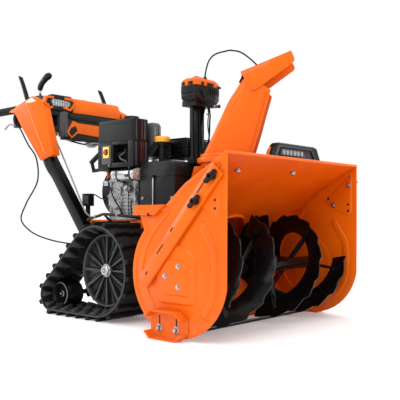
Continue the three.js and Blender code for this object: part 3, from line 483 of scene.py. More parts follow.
class Shape:
    """Vertices and faces gathered for one piece. Lengths are given in millimetres."""

    def __init__(self):
        self.verts = []
        self.faces = []
        self.looks = []
        self.finishes = []

    def add(self, verts, faces, look):
        base = len(self.verts)
        if look not in self.finishes:
            self.finishes.append(look)
        self.verts += verts
        self.faces += [[base + i for i in face] for face in faces]
        self.looks += [self.finishes.index(look)] * len(faces)
        return self

    def loft(self, rings, look, caps=True, loop=False):
        """Joins rings of the same count. With loop, the last ring joins the first."""
        count = len(rings[0])
        faces = []
        for k in range(len(rings) if loop else len(rings) - 1):
            a, b = k * count, (k + 1) % len(rings) * count
            faces += [[a + i, a + (i + 1) % count, b + (i + 1) % count, b + i] for i in range(count)]
        if caps and not loop:
            faces.append(list(range(count))[::-1])
            faces.append([(len(rings) - 1) * count + i for i in range(count)])
        return self.add([v for ring in rings for v in ring], faces, look)

    def prism(self, outline, axis, low, high, look):
        """An outline carried along x, y or z; its points are the other two, in that order."""
        return self.loft([level(axis, depth, outline) for depth in (low, high)], look)

    def stack(self, outline, axis, steps, look, caps=True):
        """An outline repeated along an axis. Each step is its depth and how far it is drawn inwards."""
        rings = [level(axis, depth, offset_inwards(outline, inset)) for depth, inset in steps]
        return self.loft(rings, look, caps)

    def box(self, low, high, look):
        return self.prism(rectangle(*low[1:], *high[1:]), "x", low[0], high[0], look)

    def spun(self, spot, axis, profile, look, steps=24, caps=True, loop=False):
        """A profile of (distance along the axis, radius) spun about the axis."""
        along, across, up = frame_of(axis)
        centre = place(*spot)
        rings = []
        for distance, radius in profile:
            middle = centre + along * (distance * MM)
            rings.append([middle + (across * math.cos(a) + up * math.sin(a)) * (radius * MM)
                          for a in turns(steps)])
        return self.loft(rings, look, caps, loop)

    def tube(self, route, radius, look, sides=10, smooth=4, flat=1.0):
        """A round section along a route, with smooth steps between its points. Flat squashes the section."""
        points = smoothed(route, smooth) if smooth else [place(*at) for at in route]
        rings = []
        across = None
        for i, point in enumerate(points):
            along = (points[min(i + 1, len(points) - 1)] - points[max(i - 1, 0)]).normalized()
            if across is None:
                across = frame_of(along)[1]
            across = (across - along * across.dot(along)).normalized()
            up = along.cross(across)
            rings.append([point + (across * math.cos(a) + up * math.sin(a) * flat) * (radius * MM)
                          for a in turns(sides)])
        return self.loft(rings, look)

    def bolt(self, spot, axis, across_flats, height, look="bright_steel", washer=True):
        """A hexagon head with a chamfered top, on its washer."""
        r = across_flats / math.sqrt(3)
        rise = 1.2 if washer else 0
        if washer:
            self.spun(spot, axis, [(0, r * 1.35), (1.0, r * 1.35), (1.2, r * 1.28)], look, 18)
        profile = [(rise, r), (rise + height * 0.8, r), (rise + height, r * 0.84)]
        return self.spun(spot, axis, profile, look, 6)

    def done(self, name, body, bevel=0.0, sharp=35, replaces=()):
        """Makes the piece, rounds its edges by bevel millimetres and lets it ride on a body."""
        mesh = bpy.data.meshes.new(name)
        mesh.from_pydata(self.verts, [], self.faces)
        for look in self.finishes:
            mesh.materials.append(FINISHES[look])
        mesh.polygons.foreach_set("material_index", self.looks)
        return made_piece(mesh, name, body, bevel, sharp, replaces)


def smoothed(route, steps):
    """Points along a smooth curve through a route, in metres."""
    points = [place(*at) for at in route]
    ends = [2 * points[0] - points[1]] + points + [2 * points[-1] - points[-2]]
    curve = []
    for before, a, b, after in zip(ends, ends[1:], ends[2:], ends[3:]):
        for k in range(steps):
            t = k / steps
            pull = (b - before) * (t - 2 * t * t + t ** 3) / 2 + (after - a) * (t ** 3 - t * t) / 2
            curve.append(a * (2 * t ** 3 - 3 * t * t + 1) + b * (3 * t * t - 2 * t ** 3) + pull)
    return curve + [points[-1]]


def round_edges(shape, bevel, sharp, rim=0):
    """Rounds each edge sharper than an angle. The rim is the number of the finish on the new faces."""
    edges = [e for e in shape.edges if len(e.link_faces) == 2 and e.calc_face_angle(0) > math.radians(sharp)]
    bmesh.ops.bevel(
        shape, geom=edges, offset=bevel * MM, segments=2, profile=0.5, affect="EDGES", clamp_overlap=True,
        material=rim
    )


def into_scene(mesh, name, sharp):
    """Shades a mesh smooth except at its sharp edges, and puts it in the scene."""
    mesh.polygons.foreach_set("use_smooth", [True] * len(mesh.polygons))
    mesh.set_sharp_from_angle(angle=math.radians(sharp + 8))
    piece = bpy.data.objects.new(name, mesh)
    bpy.context.scene.collection.objects.link(piece)
    return piece


def made_piece(mesh, name, body, bevel, sharp, replaces):
    """A new piece with its edges rounded, riding on a body."""
    shape = bmesh.new()
    shape.from_mesh(mesh)
    bmesh.ops.remove_doubles(shape, verts=shape.verts, dist=1e-6)
    bmesh.ops.recalc_face_normals(shape, faces=shape.faces)
    if bevel:
        round_edges(shape, bevel, sharp)
    shape.to_mesh(mesh)
    shape.free()
    piece = into_scene(mesh, name, sharp)
    if replaces:
        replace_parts(piece, *replaces)
    if body:
        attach(piece, body)
    return piece


# %% [markdown]
# ## Rounding off the frame's own pieces
# A folded plate or a moulded cover has no razor edges: each edge is a small round that catches a thread of
# light. The frame's solids are sharp, so each one is copied, its flat faces are joined up again, and
# every hard edge is rounded by the amount its stuff would have. Black parts that scrape on ice and grit
# also lose their paint there, so their rounded edges take the rubbed finish.

# %% Round the edges of a frame node
BODY_OF = {node: body for body, nodes in frame["record"]["behaviour"]["bodies"].items() for node in nodes}
SLOT_OF = {part["node"]: part["material_slot"] for part in frame["record"]["subparts"]}


EDGE_ANGLE = 30


def rounded_copy(node, bevel, look=None, edge_look=None):
    """A copy of a frame node with rounded edges, which then stands for that node."""
    look = look or SLOT_OF[node]
    mesh = frame["nodes"][node].data.copy()
    mesh.materials.clear()
    mesh.materials.append(FINISHES[look])
    mesh.materials.append(FINISHES[edge_look or look])
    shape = bmesh.new()
    shape.from_mesh(mesh)
    bmesh.ops.remove_doubles(shape, verts=shape.verts, dist=1e-6)
    bmesh.ops.dissolve_limit(shape, angle_limit=math.radians(1.0), verts=shape.verts, edges=shape.edges)
    for face in shape.faces:
        face.material_index = 0
    round_edges(shape, bevel, EDGE_ANGLE, rim=1 if edge_look else 0)
    shape.to_mesh(mesh)
    shape.free()
    for layer in list(mesh.attributes):
        if layer.name == "custom_normal":
            mesh.attributes.remove(layer)
    piece = into_scene(mesh, node + "_finished", EDGE_ANGLE)
    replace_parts(piece, node)
    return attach(piece, BODY_OF[node])


EDGE_ROUND = {
    "orange_paint": 1.2, "orange_plastic": 2.5, "black_steel": 0.8, "black_plastic": 1.8, "rubber": 1.0,
    "engine_alloy": 2.0, "bright_steel": 0.8, "grey_plastic": 2.5, "yellow_plastic": 2.0, "red_plastic": 1.5,
    "lamp_lens": 2.0,
}

# %% [markdown]
# ## The intake's side plates
# The plates are stamped from sheet: a press pushes flat panels, ribs and a rolled rim out of them so that
# thin steel stays stiff. A stamped shape has a soft slope all round, so we take its outline, step inwards
# and upwards along a smooth curve, and close the top. The same helper makes a raised panel, a rib and,
# with the middle left open, the rim that runs round the whole plate.

# %% Outlines for stamped sheet


def offset_inwards(outline, distance):
    """Moves each side of an outline inwards by a distance."""
    count = len(outline)
    area = sum(outline[i - 1][0] * outline[i][1] - outline[i][0] * outline[i - 1][1] for i in range(count))
    turn = 1 if area > 0 else -1
    moved = []
    for i, (u, v) in enumerate(outline):
        before = Vector(outline[i]) - Vector(outline[i - 1])
        after = Vector(outline[(i + 1) % count]) - Vector(outline[i])
        normals = [Vector((-edge.y, edge.x)).normalized() * turn for edge in (before, after)]
        middle = (normals[0] + normals[1]).normalized()
        reach = distance / max(middle.dot(normals[0]), 0.4)
        moved.append((u + middle.x * reach, v + middle.y * reach))
    return moved


def rounded(outline, radius, steps=4):
    """Cuts each corner of an outline to a round."""
    curve = []
    for i, corner in enumerate(outline):
        corner = Vector(corner)
        ends = []
        for other in (Vector(outline[i - 1]), Vector(outline[(i + 1) % len(outline)])):
            arm = other - corner
            ends.append(corner + arm.normalized() * min(radius, arm.length * 0.45))
        for k in range(steps + 1):
            t = k / steps
            point = ends[0] * (1 - t) ** 2 + corner * (2 * t * (1 - t)) + ends[1] * t * t
            curve.append((point.x, point.y))
    return curve


def pressing(shape, x, side, outline, rise, slope, look="orange_paint", open_width=None):
    """A stamped panel on the plane x, or a rim of open_width with its middle left flat."""
    ramp = [(slope * t, rise * (1 - math.cos(math.pi * t)) / 2) for t in (0, 0.2, 0.4, 0.6, 0.8, 1)]
    if open_width:
        ramp += [(open_width - inset, height) for inset, height in ramp[::-1]]
    rings = []
    for inset, height in ramp:
        rings.append([place(x + side * (height - 0.1), u, v) for u, v in offset_inwards(outline, inset)])
    shape.loft(rings, look, caps=not open_width)


def bead(shape, x, side, route, half, rise, look="orange_paint"):
    """A pressed rib along a route in the side view, with round ends."""
    points = [Vector((point.y, point.z)) / MM for point in smoothed([(0, y - FRONT / MM, z) for y,
                                                                     z in route], 5)]
    total = sum((b - a).length for a, b in zip(points, points[1:]))
    gone = 0
    rings = []
    for i, point in enumerate(points):
        gone += (point - points[i - 1]).length if i else 0
        near = min(gone, total - gone) / half
        share = math.sqrt(max(1 - (1 - min(near, 1)) ** 2, 0.0004))
        along = (points[min(i + 1, len(points) - 1)] - points[max(i - 1, 0)]).normalized()
        normal = Vector((-along.y, along.x))
        ring = []
        for u, out in ((-1, -0.05), (-0.86, 0.5), (-0.6, 1), (0.6, 1), (0.86, 0.5), (1, -0.05)):
            at = point + normal * (u * half * share)
            ring.append(place(x + side * out * rise * min(1, near * 1.6 + 0.05), at.x, at.y))
        rings.append(ring)
    shape.loft(rings, look)


print("a square rounds to", len(rounded([(0, 0), (9, 0), (9, 9), (0, 9)], 2)), "points")

# %% The plate's own outline and what is stamped in it
PLATE_X = 410
SHEET = 4
DRUM = (208, 212, 208)
INTAKE_HEIGHT = 603


def arc(centre, radius, start, end, steps=16):
    """Points on a circle in the side view, from one angle to another in degrees."""
    turns = [math.radians(start + (end - start) * k / steps) for k in range(steps + 1)]
    return [(centre[0] + radius * math.cos(a), centre[1] + radius * math.sin(a)) for a in turns]


PLATE = [(0, INTAKE_HEIGHT), (176, 505), (258, 438), (400, 436), (400, 410), (382, 407)]
PLATE += arc(DRUM[:2], DRUM[2], 43, -170, 30)
BOSS = [(118, 112), (118, 200)] + arc((209, 222), 91, 180, 0, 12) + [(300, 200), (300, 112)]
BOSS_TOP = [(150, 142), (150, 195)] + arc((215, 200), 65, 178, 2, 10) + [(280, 195), (280, 142)]
RIB = [(108, 384), (84, 346), (58, 304), (50, 270), (50, 205), (58, 150), (78, 112), (104, 82)]
CORNER_PANEL = [(20, 575), (20, 412), (40, 398), (150, 455)]
CURVED_RIB = [(238, 420), (290, 372), (336, 318), (362, 262), (370, 214)]
LOWER_RIB = [(352, 176), (336, 136), (304, 100)]


def side_plate(name, side):
    plate = Shape()
    inner, outer = sorted((side * PLATE_X, side * (PLATE_X - SHEET)))
    plate.prism(PLATE, "x", inner, outer, "orange_paint")
    for face_x, way in ((side * PLATE_X, side), (side * (PLATE_X - SHEET), -side)):
        outwards = way == side
        pressing(plate, face_x, way, rounded(BOSS, 26), 6 if outwards else 3, 10)
        pressing(plate, face_x + way * (6 if outwards else 3), way, rounded(BOSS_TOP, 9), 4.5
                 if outwards else 2, 7)
        bead(plate, face_x, way, RIB, 15, 5 if outwards else 3)
        pressing(plate, face_x, way, rounded(CORNER_PANEL, 14), 3.5, 6)
        bead(plate, face_x, way, CURVED_RIB, 6, 2.5)
        bead(plate, face_x, way, LOWER_RIB, 6, 2.5)
        if outwards:
            pressing(plate, face_x, way, PLATE, 2.2, 4, open_width=20)
    shelf = rounded([(252, 439), (402, 438), (402, 404), (300, 404), (280, 421)], 4)
    low, high = sorted((side * PLATE_X, side * (PLATE_X + 12)))
    plate.prism(shelf, "x", low, high, "orange_paint")
    return plate.done(f"{name}_side_plate", "root", bevel=0.7, sharp=50, replaces=[f"side_plate_{name}"])


for name, side in SIDES.items():
    side_plate(name, side)
print("two stamped plates, each with", len(PLATE), "points round its edge")

# %% [markdown]
# Bolts are never guessed one by one: each has a hexagon head, a chamfer and a washer, and what matters is
# where it stands. The bearing of the auger shaft is held by three, the skid shoe by two in slots that let
# it be set to the wear of the blade, and the work light and its bracket show theirs inside the intake.

# %% Bolts, slots and square holes of the intake
BEARING_BOLTS = [(194, 239), (252, 206), (194, 173)]
SHOE_BOLTS = [(282, 34), (206, 33)]
SQUARE_HOLES = [(45, 451), (45, 425)]
INNER_BOLTS = [(33, 523), (102, 444)]
INNER_HOLES = [(126, 470), (36, 446), (36, 420)]


def painted_shade_hole(shape, x, side, y, z, width, height):
    """A hole seen from outside, drawn as painted shade: a thin dark plate, a hair above the sheet."""
    outline = rounded(rectangle(y - width, z - height, y + width, z + height), min(width, height) * 0.8, 3)
    low, high = sorted((x, x + side * 0.4))
    shape.prism(outline, "x", low, high, "black_steel")


def intake_fasteners(name, side):
    bolts = Shape()
    out = direction(side, 0, 0)
    for y, z in BEARING_BOLTS:
        bolts.bolt((side * (PLATE_X + 10.5), y, z), out, 12, 6)
    for y, z in SHOE_BOLTS:
        bolts.spun((side * (PLATE_X + 4.2), y, z), out, [(0, 13), (2.4, 13), (3, 12)], "bright_steel", 24)
        bolts.bolt((side * (PLATE_X + 7), y, z), out, 13, 8)
        painted_shade_hole(bolts, side * (PLATE_X + 4.1), side, y, z + 25, 3, 16)
    for y, z in SQUARE_HOLES:
        painted_shade_hole(bolts, side * (PLATE_X + 3.4), side, y, z, 4, 4)
    for y, z in INNER_BOLTS:
        bolts.bolt((side * (PLATE_X - SHEET - 3.4), y, z), -out, 13, 8)
    for y, z in INNER_HOLES:
        painted_shade_hole(bolts, side * (PLATE_X - SHEET - 3.4), -side, y, z, 4.5, 4.5)
    bolts.bolt((side * (PLATE_X + 7), 330, 409), direction(0, 0, -1), 13, 7, "black_steel")
    for y, z in ((282, 52), (206, 52)):
        bolts.spun((side * (PLATE_X - SHEET), y, z - 18), -out, [(0, 8), (3, 8), (4, 6)], "bright_steel", 16)
    return bolts.done(f"{name}_intake_bolts", "root")


for name, side in SIDES.items():
    intake_fasteners(name, side)
print(len(BEARING_BOLTS) + len(SHOE_BOLTS) + len(INNER_BOLTS) + 3, "bolts on each side")

# %% [markdown]
# The top sheet is the part that hits snow banks first, so its front edge is rolled into a tube. Rolling
# also hides the raw edge. Behind it the sheet is bent once and runs down round the augers, and the hole
# where the impeller reaches in has a turned-up rim. That rim lies on a curved sheet: each of its points is
# found from the circle of the impeller and the height of the sheet at that place.

# %% Rolled lip, panel bolts and the rim of the impeller's mouth
MOUTH = (232, 170)
BEND = (176, 503)


def sheet_depth(z):
    """How far back the inner face of the bent sheet is at a height."""
    drum_top = DRUM[1] + 199 * math.sin(math.radians(56))
    if z > drum_top:
        foot = DRUM[0] + 199 * math.cos(math.radians(56))
        return foot + (BEND[0] - foot) * (z - drum_top) / (BEND[1] - drum_top)
    return DRUM[0] + math.sqrt(max(199 ** 2 - (z - DRUM[1]) ** 2, 0))


intake_trim = Shape()
intake_trim.spun((-PLATE_X, 7, 598), (1, 0, 0), [(0, 4), (1, 6), (2 * PLATE_X - 1, 6), (2 * PLATE_X, 4)],
                 "orange_paint", 16)
for x, y in ((-268, 70), (42, 60)):
    top = INTAKE_HEIGHT - (INTAKE_HEIGHT - BEND[1]) * y / BEND[0]
    intake_trim.bolt((x, y, top - 10), direction(0, -0.3, -1), 13, 9)
rim = []
for k in range(49):
    a = math.radians(7.5 * k)
    height = MOUTH[0] + MOUTH[1] * math.sin(a)
    rim.append((MOUTH[1] * math.cos(a), sheet_depth(height) - 6, height))
intake_trim.tube(rim, 5, "orange_paint", sides=8, smooth=0)
intake_trim.done("intake_trim", "root")
print("the mouth's rim has", len(rim), "points")

# %% [markdown]
# ## Drift cutters
# A drift cutter is a folded channel bolted to each side plate by two wing knobs. In deep snow it slides up
# and its end cuts into the drift. Its section is drawn once, across the channel, and carried along the
# slope. Wing knobs have a bright stud end in the middle.

# %% Drift cutters and their slots
CUTTER_TOP = (30, 548)
CUTTER_FOOT = (352, 182)
CUTTER_X = PLATE_X + 3.6
CUTTER_SECTION = [(-28, 0), (-28, 11), (-25, 13.5), (2, 13.5), (6, 13), (28, 7), (28, 4.5), (5, 10),
                  (-25, 10), (-25, 0)]


def cutter(name, side):
    channel = Shape()
    top, foot = Vector(CUTTER_TOP), Vector(CUTTER_FOOT)
    along = (foot - top).normalized()
    across = Vector((along.y, -along.x))
    rings = []
    for spot in (top - along * 3, foot):
        edge = [(out, spot - across * u) for u, out in CUTTER_SECTION]
        rings.append([place(side * (CUTTER_X + out), at.x, at.y) for out, at in edge])
    channel.loft(rings, "orange_paint")
    # The slots are thin dark plates on the channel: painted shade of the openings.
    for share, shift, length, width in ((0.17, 9, 26, 2.5), (0.55, 16, 9, 3), (0.72, 12, 22, 2.5),
                                        (0.93, 4, 8, 3)):
        middle = top + (foot - top) * share - across * shift
        out = CUTTER_X + 13.2 - max(0, (shift - 6) * 0.27)
        spots = [middle + along * u - across * v for u, v in rectangle(-length, -width, length, width)]
        ring = [(at.x, at.y) for at in spots]
        low, high = sorted((side * out, side * (out + 0.7)))
        channel.prism(ring, "x", low, high, "black_steel")
    return channel.done(f"{name}_drift_cutter", f"drift_cutter_{name}", bevel=0.6, sharp=20,
                        replaces=[f"drift_cutter_{name}"])


KNOBS = {"front": (40, 523), "rear": (108, 447)}
for name, side in SIDES.items():
    cutter(name, side)
    for end, (y, z) in KNOBS.items():
        node = f"wing_knob_{name}_{end}"
        face = max(abs(corner[0]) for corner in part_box(node)) / MM
        stud = Shape()
        stud.spun((side * (face - 5), y, z), direction(side, 0, 0), [(0, 6), (4.4, 6), (5, 5)],
                  "bright_steel", 18)
        stud.done(f"{node}_stud", node)
print("the channel is", round((Vector(CUTTER_TOP) - Vector(CUTTER_FOOT)).length), "mm long")

# %% [markdown]
# ## The work light
# The light on top of the intake is a deep bezel with a clear front. Behind the lens sit small round
# reflectors, and a thin orange strut stands at its inner end. The bezel is one outline repeated from the
# back to the front and drawn inwards at its front, which gives the broad chamfer that a moulded bezel has.

# %% Work light
LIGHT_FACE = 122
LIGHT_BACK = 166
LIGHT = [(12, 560), (24, 640), (54, 674), (312, 674), (350, 606), (357, 560)]
LIGHT_WINDOW = [(30, 622), (48, 656), (262, 656), (290, 622)]
LIGHT_GLASS = [(52, 626), (60, 650), (206, 650), (222, 626)]


def work_light():
    lamp = Shape()
    outline = rounded(LIGHT, 10)
    steps = [(LIGHT_BACK, 4), (LIGHT_BACK - 6, 0), (LIGHT_FACE + 12, 0), (LIGHT_FACE, 7), (LIGHT_FACE, 13)]
    lamp.stack(outline, "y", steps, "black_plastic")
    window = rounded(LIGHT_WINDOW, 6)
    frame_steps = [(LIGHT_FACE + 1, -7), (LIGHT_FACE - 4, -5), (LIGHT_FACE - 4, 0), (LIGHT_FACE + 4, 1)]
    lamp.stack(window, "y", frame_steps, "grey_plastic", caps=False)
    # A black plate fills the window behind the lens: painted shade of the lamp's recess.
    lamp.prism(offset_inwards(window, 1), "y", LIGHT_FACE - 1, LIGHT_FACE + 2, "black_steel")
    lamp.prism(rounded(LIGHT_GLASS, 5), "y", LIGHT_FACE - 2.4, LIGHT_FACE, "grey_plastic")
    for k in range(6):
        spot = (74 + 24 * k, LIGHT_FACE - 2.6, 637)
        lamp.spun(spot, (0, -1, 0), [(0, 10.5), (1.6, 10), (0.6, 5), (1.4, 3)], "lamp_lens", 20)
    for k in range(5):
        x = 70 + 46 * k
        lamp.box((x, LIGHT_BACK - 2, 590), (x + 26, LIGHT_BACK + 1, 596), "black_plastic")
    return lamp.done("work_light_finished", "root", bevel=0.8, sharp=40, replaces=["work_light"])


work_light()
strut = Shape()
strut.tube([(2, 150, 572), (4, 148, 600), (10, 146, 628), (20, 144, 654)], 4, "orange_paint", smooth=3)
strut.done("work_light_strut", "root")
print("the light is", LIGHT[4][0] - LIGHT[0][0], "mm wide")

# %% [markdown]
# ## Tracks
# A rubber track is one moulded belt. Outside it has a lug at every pitch to bite into snow, and inside two
# rows of tapered wedges that keep it in line with the wheels. Belt, lugs and wedges are all laid along one
# loop: a straight run, an arc round the big wheel, another straight and an arc round the idler. The helper
# below gives the point and the outward direction at any distance along that loop.

# %% The loop of a track
DRIVE = (700, 190)
IDLER = (983, 78)
BELT_R = 175
IDLER_R = 63
BELT_X = 252
BELT_HALF = 92.5
CENTRES = math.dist(DRIVE, IDLER)
HEADING = math.atan2(IDLER[1] - DRIVE[1], IDLER[0] - DRIVE[0])
SPREAD = math.acos((BELT_R - IDLER_R) / CENTRES)
STRAIGHT = math.sqrt(CENTRES ** 2 - (BELT_R - IDLER_R) ** 2)
DRIVE_ARC = BELT_R * (2 * math.pi - 2 * SPREAD)
IDLER_ARC = IDLER_R * 2 * SPREAD
LOOP = 2 * STRAIGHT + DRIVE_ARC + IDLER_ARC
LUGS = 23
PITCH = LOOP / LUGS


def on_circle(centre, radius, angle):
    return centre[0] + radius * math.cos(angle), centre[1] + radius * math.sin(angle)


def on_straight(wheels, angle, t):
    """A share t of the way along the straight between two wheels, each a centre and a radius."""
    start, end = (on_circle(centre, radius, angle) for centre, radius in wheels)
    return start[0] + (end[0] - start[0]) * t, start[1] + (end[1] - start[1]) * t


def on_loop(distance):
    """((y, z), outward angle) on the outside of the belt, from the top straight's front end."""
    wheels = [(DRIVE, BELT_R), (IDLER, IDLER_R)]
    s = distance % LOOP
    angle = HEADING + SPREAD
    if s < STRAIGHT:
        return on_straight(wheels, angle, s / STRAIGHT), angle
    s -= STRAIGHT
    if s < IDLER_ARC:
        a = angle - s / IDLER_R
        return on_circle(IDLER, IDLER_R, a), a
    s -= IDLER_ARC
    angle = HEADING - SPREAD
    if s < STRAIGHT:
        return on_straight(wheels[::-1], angle, s / STRAIGHT), angle
    a = angle - (s - STRAIGHT) / BELT_R
    return on_circle(DRIVE, BELT_R, a), a


def loop_point(x, distance, out):
    """A point on the track: x across, a distance along the loop, and out from the belt's outer face."""
    (y, z), a = on_loop(distance)
    return place(x, y + out * math.cos(a), z + out * math.sin(a))


print("the track is", round(LOOP), "mm round, with a lug every", round(PITCH, 1), "mm")

# %% Belt, lugs and wedges
BELT_THICK = 10
LUG_RISE = 15
BELT_STEPS = 138


def track_belt(name, side):
    track = Shape()
    middle = side * BELT_X
    belt = [(-BELT_HALF, 0), (0, 0.6), (BELT_HALF, 0), (BELT_HALF, -BELT_THICK), (-BELT_HALF, -BELT_THICK)]
    # The two thin strips along the belt's edges carry the painted highlight.
    strips = [rectangle(edge - 0.6, -1, edge + 0.6, 3 - BELT_THICK) for edge in (-BELT_HALF, BELT_HALF)]
    for section, look in ((belt, "rubber"), (strips[0], "rubber_painted_highlight"), (strips[1], "rubber_painted_highlight")):
        places = [LOOP * k / BELT_STEPS for k in range(BELT_STEPS)]
        track.loft([[loop_point(middle + u, s, out) for u, out in section] for s in places], look, loop=True)
    for k in range(LUGS):
        s = PITCH * k
        lug(track, middle, s)
        for edge in (-1, 1):
            wedge(track, middle, edge, s)
        for share in (-0.42, 0.42):
            tooth = [(share * BELT_HALF + u, s + v) for u, v in rectangle(-9, -8, 9, 8)]
            base = [loop_point(middle + u, v, -BELT_THICK) for u, v in tooth]
            tip = [loop_point(middle + share * BELT_HALF + (u - share * BELT_HALF) * 0.5, v, -BELT_THICK - 7)
                   for u, v in tooth]
            track.loft([base, tip], "rubber")
    return track.done(f"{name}_track", "track_frame", bevel=1.2, sharp=35, replaces=[f"track_belt_{name}"])


def lug(track, middle, s):
    """A wide cleat that zigzags across the belt, lower and narrower at its top."""
    rings = []
    across = [-BELT_HALF, -BELT_HALF + 22, -34, -12, 12, 34, BELT_HALF - 22, BELT_HALF]
    shift = [0, 0, 5, -4, 4, -5, 0, 0]
    for u, v in zip(across, shift):
        section = [(-9.5, -0.5), (-7.5, LUG_RISE - 2), (-6, LUG_RISE), (6, LUG_RISE), (7.5, LUG_RISE - 2),
                   (9.5, -0.5)]
        rings.append([loop_point(middle + u, s + v + along, out) for along, out in section])
    track.loft(rings, "rubber")


def wedge(track, middle, edge, s):
    """A tapered guide inside the belt: broad at the rim and running out towards the middle."""
    rings = []
    for u, half, depth in ((BELT_HALF - 1, 22, 3), (BELT_HALF * 0.72, 15, 13), (BELT_HALF * 0.45, 5, 21)):
        section = [(-half, 0.5), (-half * 0.6, -depth), (half * 0.6, -depth), (half, 0.5)]
        rings.append([loop_point(middle + edge * u, s + PITCH / 2 + v, -BELT_THICK + out) for v,
                      out in section])
    # The wedge's faces take the lighter rubber: painted highlight.
    track.loft(rings, "rubber_painted_highlight")


for name, side in SIDES.items():
    track_belt(name, side)
print("each track has", LUGS, "cleats and", 2 * LUGS, "wedges")

# %% [markdown]
# ## Track wheels
# The driving wheel is moulded with a dished web. Twelve broad ribs run from the hub to the rim with
# two thin ribs between each pair, and its rim ends in a row of square teeth that grip the belt from inside.
# A single rib is made and turned round the hub as often as the wheel needs it.

# %% Drive wheels
WHEEL_FACE = 288
WHEEL_BACK = 208
WHEEL_R = 142
RIBS = 12
TEETH = 24


def drive_wheel(name, side):
    wheel = Shape()
    out = (side, 0, 0)
    centre = (0, *DRIVE)
    rim = [(WHEEL_BACK, 118), (WHEEL_BACK, WHEEL_R - 4), (WHEEL_BACK + 4, WHEEL_R), (WHEEL_FACE - 3, WHEEL_R),
           (WHEEL_FACE, WHEEL_R - 2), (WHEEL_FACE, WHEEL_R - 7), (WHEEL_FACE - 4, WHEEL_R - 10),
           (WHEEL_FACE - 26, WHEEL_R - 17), (WHEEL_BACK + 6, 118)]
    wheel.spun(centre, out, rim, "wheel_plastic", 72, loop=True)
    web = [(WHEEL_FACE - 30, 24), (WHEEL_FACE - 24, 40), (WHEEL_FACE - 26, 90),
           (WHEEL_FACE - 22, WHEEL_R - 14),
           (WHEEL_FACE - 34, WHEEL_R - 14), (WHEEL_FACE - 38, 40), (WHEEL_FACE - 60, 24)]
    # The web is painted lighter than the rim of the same moulding, as painted highlight.
    wheel.spun(centre, out, web, "web_painted_highlight", 48, loop=True)
    hub = [(WHEEL_BACK + 6, 14), (WHEEL_BACK + 6, 30), (WHEEL_FACE - 8, 30), (WHEEL_FACE - 2, 26),
           (WHEEL_FACE - 2, 14)]
    wheel.spun(centre, out, hub, "wheel_plastic", 32, loop=True)
    for k in range(RIBS):
        wheel_rib(wheel, side, 360 / RIBS * k, 8.5, 3, WHEEL_FACE - 3)
        for twist in (-1, 1):
            wheel_rib(wheel, side, 360 / RIBS * (k + 0.5) + twist * 6.2, 2.2, 1.6, WHEEL_FACE - 12,
                      lean=-twist * 5.5)
    for k in range(TEETH):
        wheel_tooth(wheel, side, 360 / TEETH * (k + 0.5))
    return wheel.done(f"{name}_drive_wheel", f"drive_wheel_{name}", bevel=1.0, sharp=40,
                      replaces=[f"drive_wheel_{name}"])


def around(side, x, radius, degrees):
    """A point on a wheel: out along the axle, away from it, and turned by an angle."""
    a = math.radians(degrees)
    return place(side * x, DRIVE[0] + radius * math.cos(a), DRIVE[1] + radius * math.sin(a))


def wheel_rib(wheel, side, degrees, half, hub_half, face, lean=0.0):
    """A rib from hub to rim; half is half its width at the rim, and lean swings its outer end."""
    rings = []
    for radius, width, swing in ((27, hub_half, 0), (70, (half + hub_half) / 2, lean * 0.4),
                                 (WHEEL_R - 9, half, lean)):
        spread = math.degrees(width / radius)
        corners = [(WHEEL_FACE - 28, -spread), (face, -spread * 0.75), (face, spread * 0.75),
                   (WHEEL_FACE - 28, spread)]
        rings.append([around(side, x, radius, degrees + swing + turn) for x, turn in corners])
    wheel.loft(rings, "wheel_plastic")


def wheel_tooth(wheel, side, degrees):
    """A square tooth on the rim's inner row, hollowed between two cheeks."""
    for x0, x1 in ((WHEEL_BACK + 10, WHEEL_BACK + 26), (WHEEL_FACE - 34, WHEEL_FACE - 14)):
        rings = []
        for radius, width in ((WHEEL_R - 2, 7.5), (WHEEL_R + 9, 6.5), (WHEEL_R + 13, 4.5)):
            turn = math.degrees(width / radius)
            corners = [(x0, -turn), (x1, -turn), (x1, turn), (x0, turn)]
            rings.append([around(side, x, radius, degrees + t) for x, t in corners])
        wheel.loft(rings, "wheel_plastic")


def hub_nut(name, side):
    nut = Shape()
    out = direction(side, 0, 0)
    nut.spun((side * (WHEEL_FACE - 2), *DRIVE), out, [(0, 25), (1.5, 25), (2, 24)], "bright_steel", 28)
    nut.spun((side * WHEEL_FACE, *DRIVE), out, [(0, 22), (7, 22), (9.5, 19)], "bright_steel", 6)
    nut.spun((side * (WHEEL_FACE + 9), *DRIVE), out, [(0, 9), (0.8, 9), (0.8, 5), (-2, 4)], "black_steel", 18)
    return nut.done(f"{name}_hub_nut", f"drive_wheel_{name}", bevel=0.4)


for name, side in SIDES.items():
    drive_wheel(name, side)
    hub_nut(name, side)
print("each wheel has", RIBS, "ribs and", TEETH, "teeth")

# %% [markdown]
# The idler at the back is a small spool: two raised rims with a groove between them. It is spun from one
# profile round its axle, as a lathe would cut it, with a pale ring on its outer face and a bolt in its hub.

# %% Idler wheels
IDLER_HALF = (208, 290)


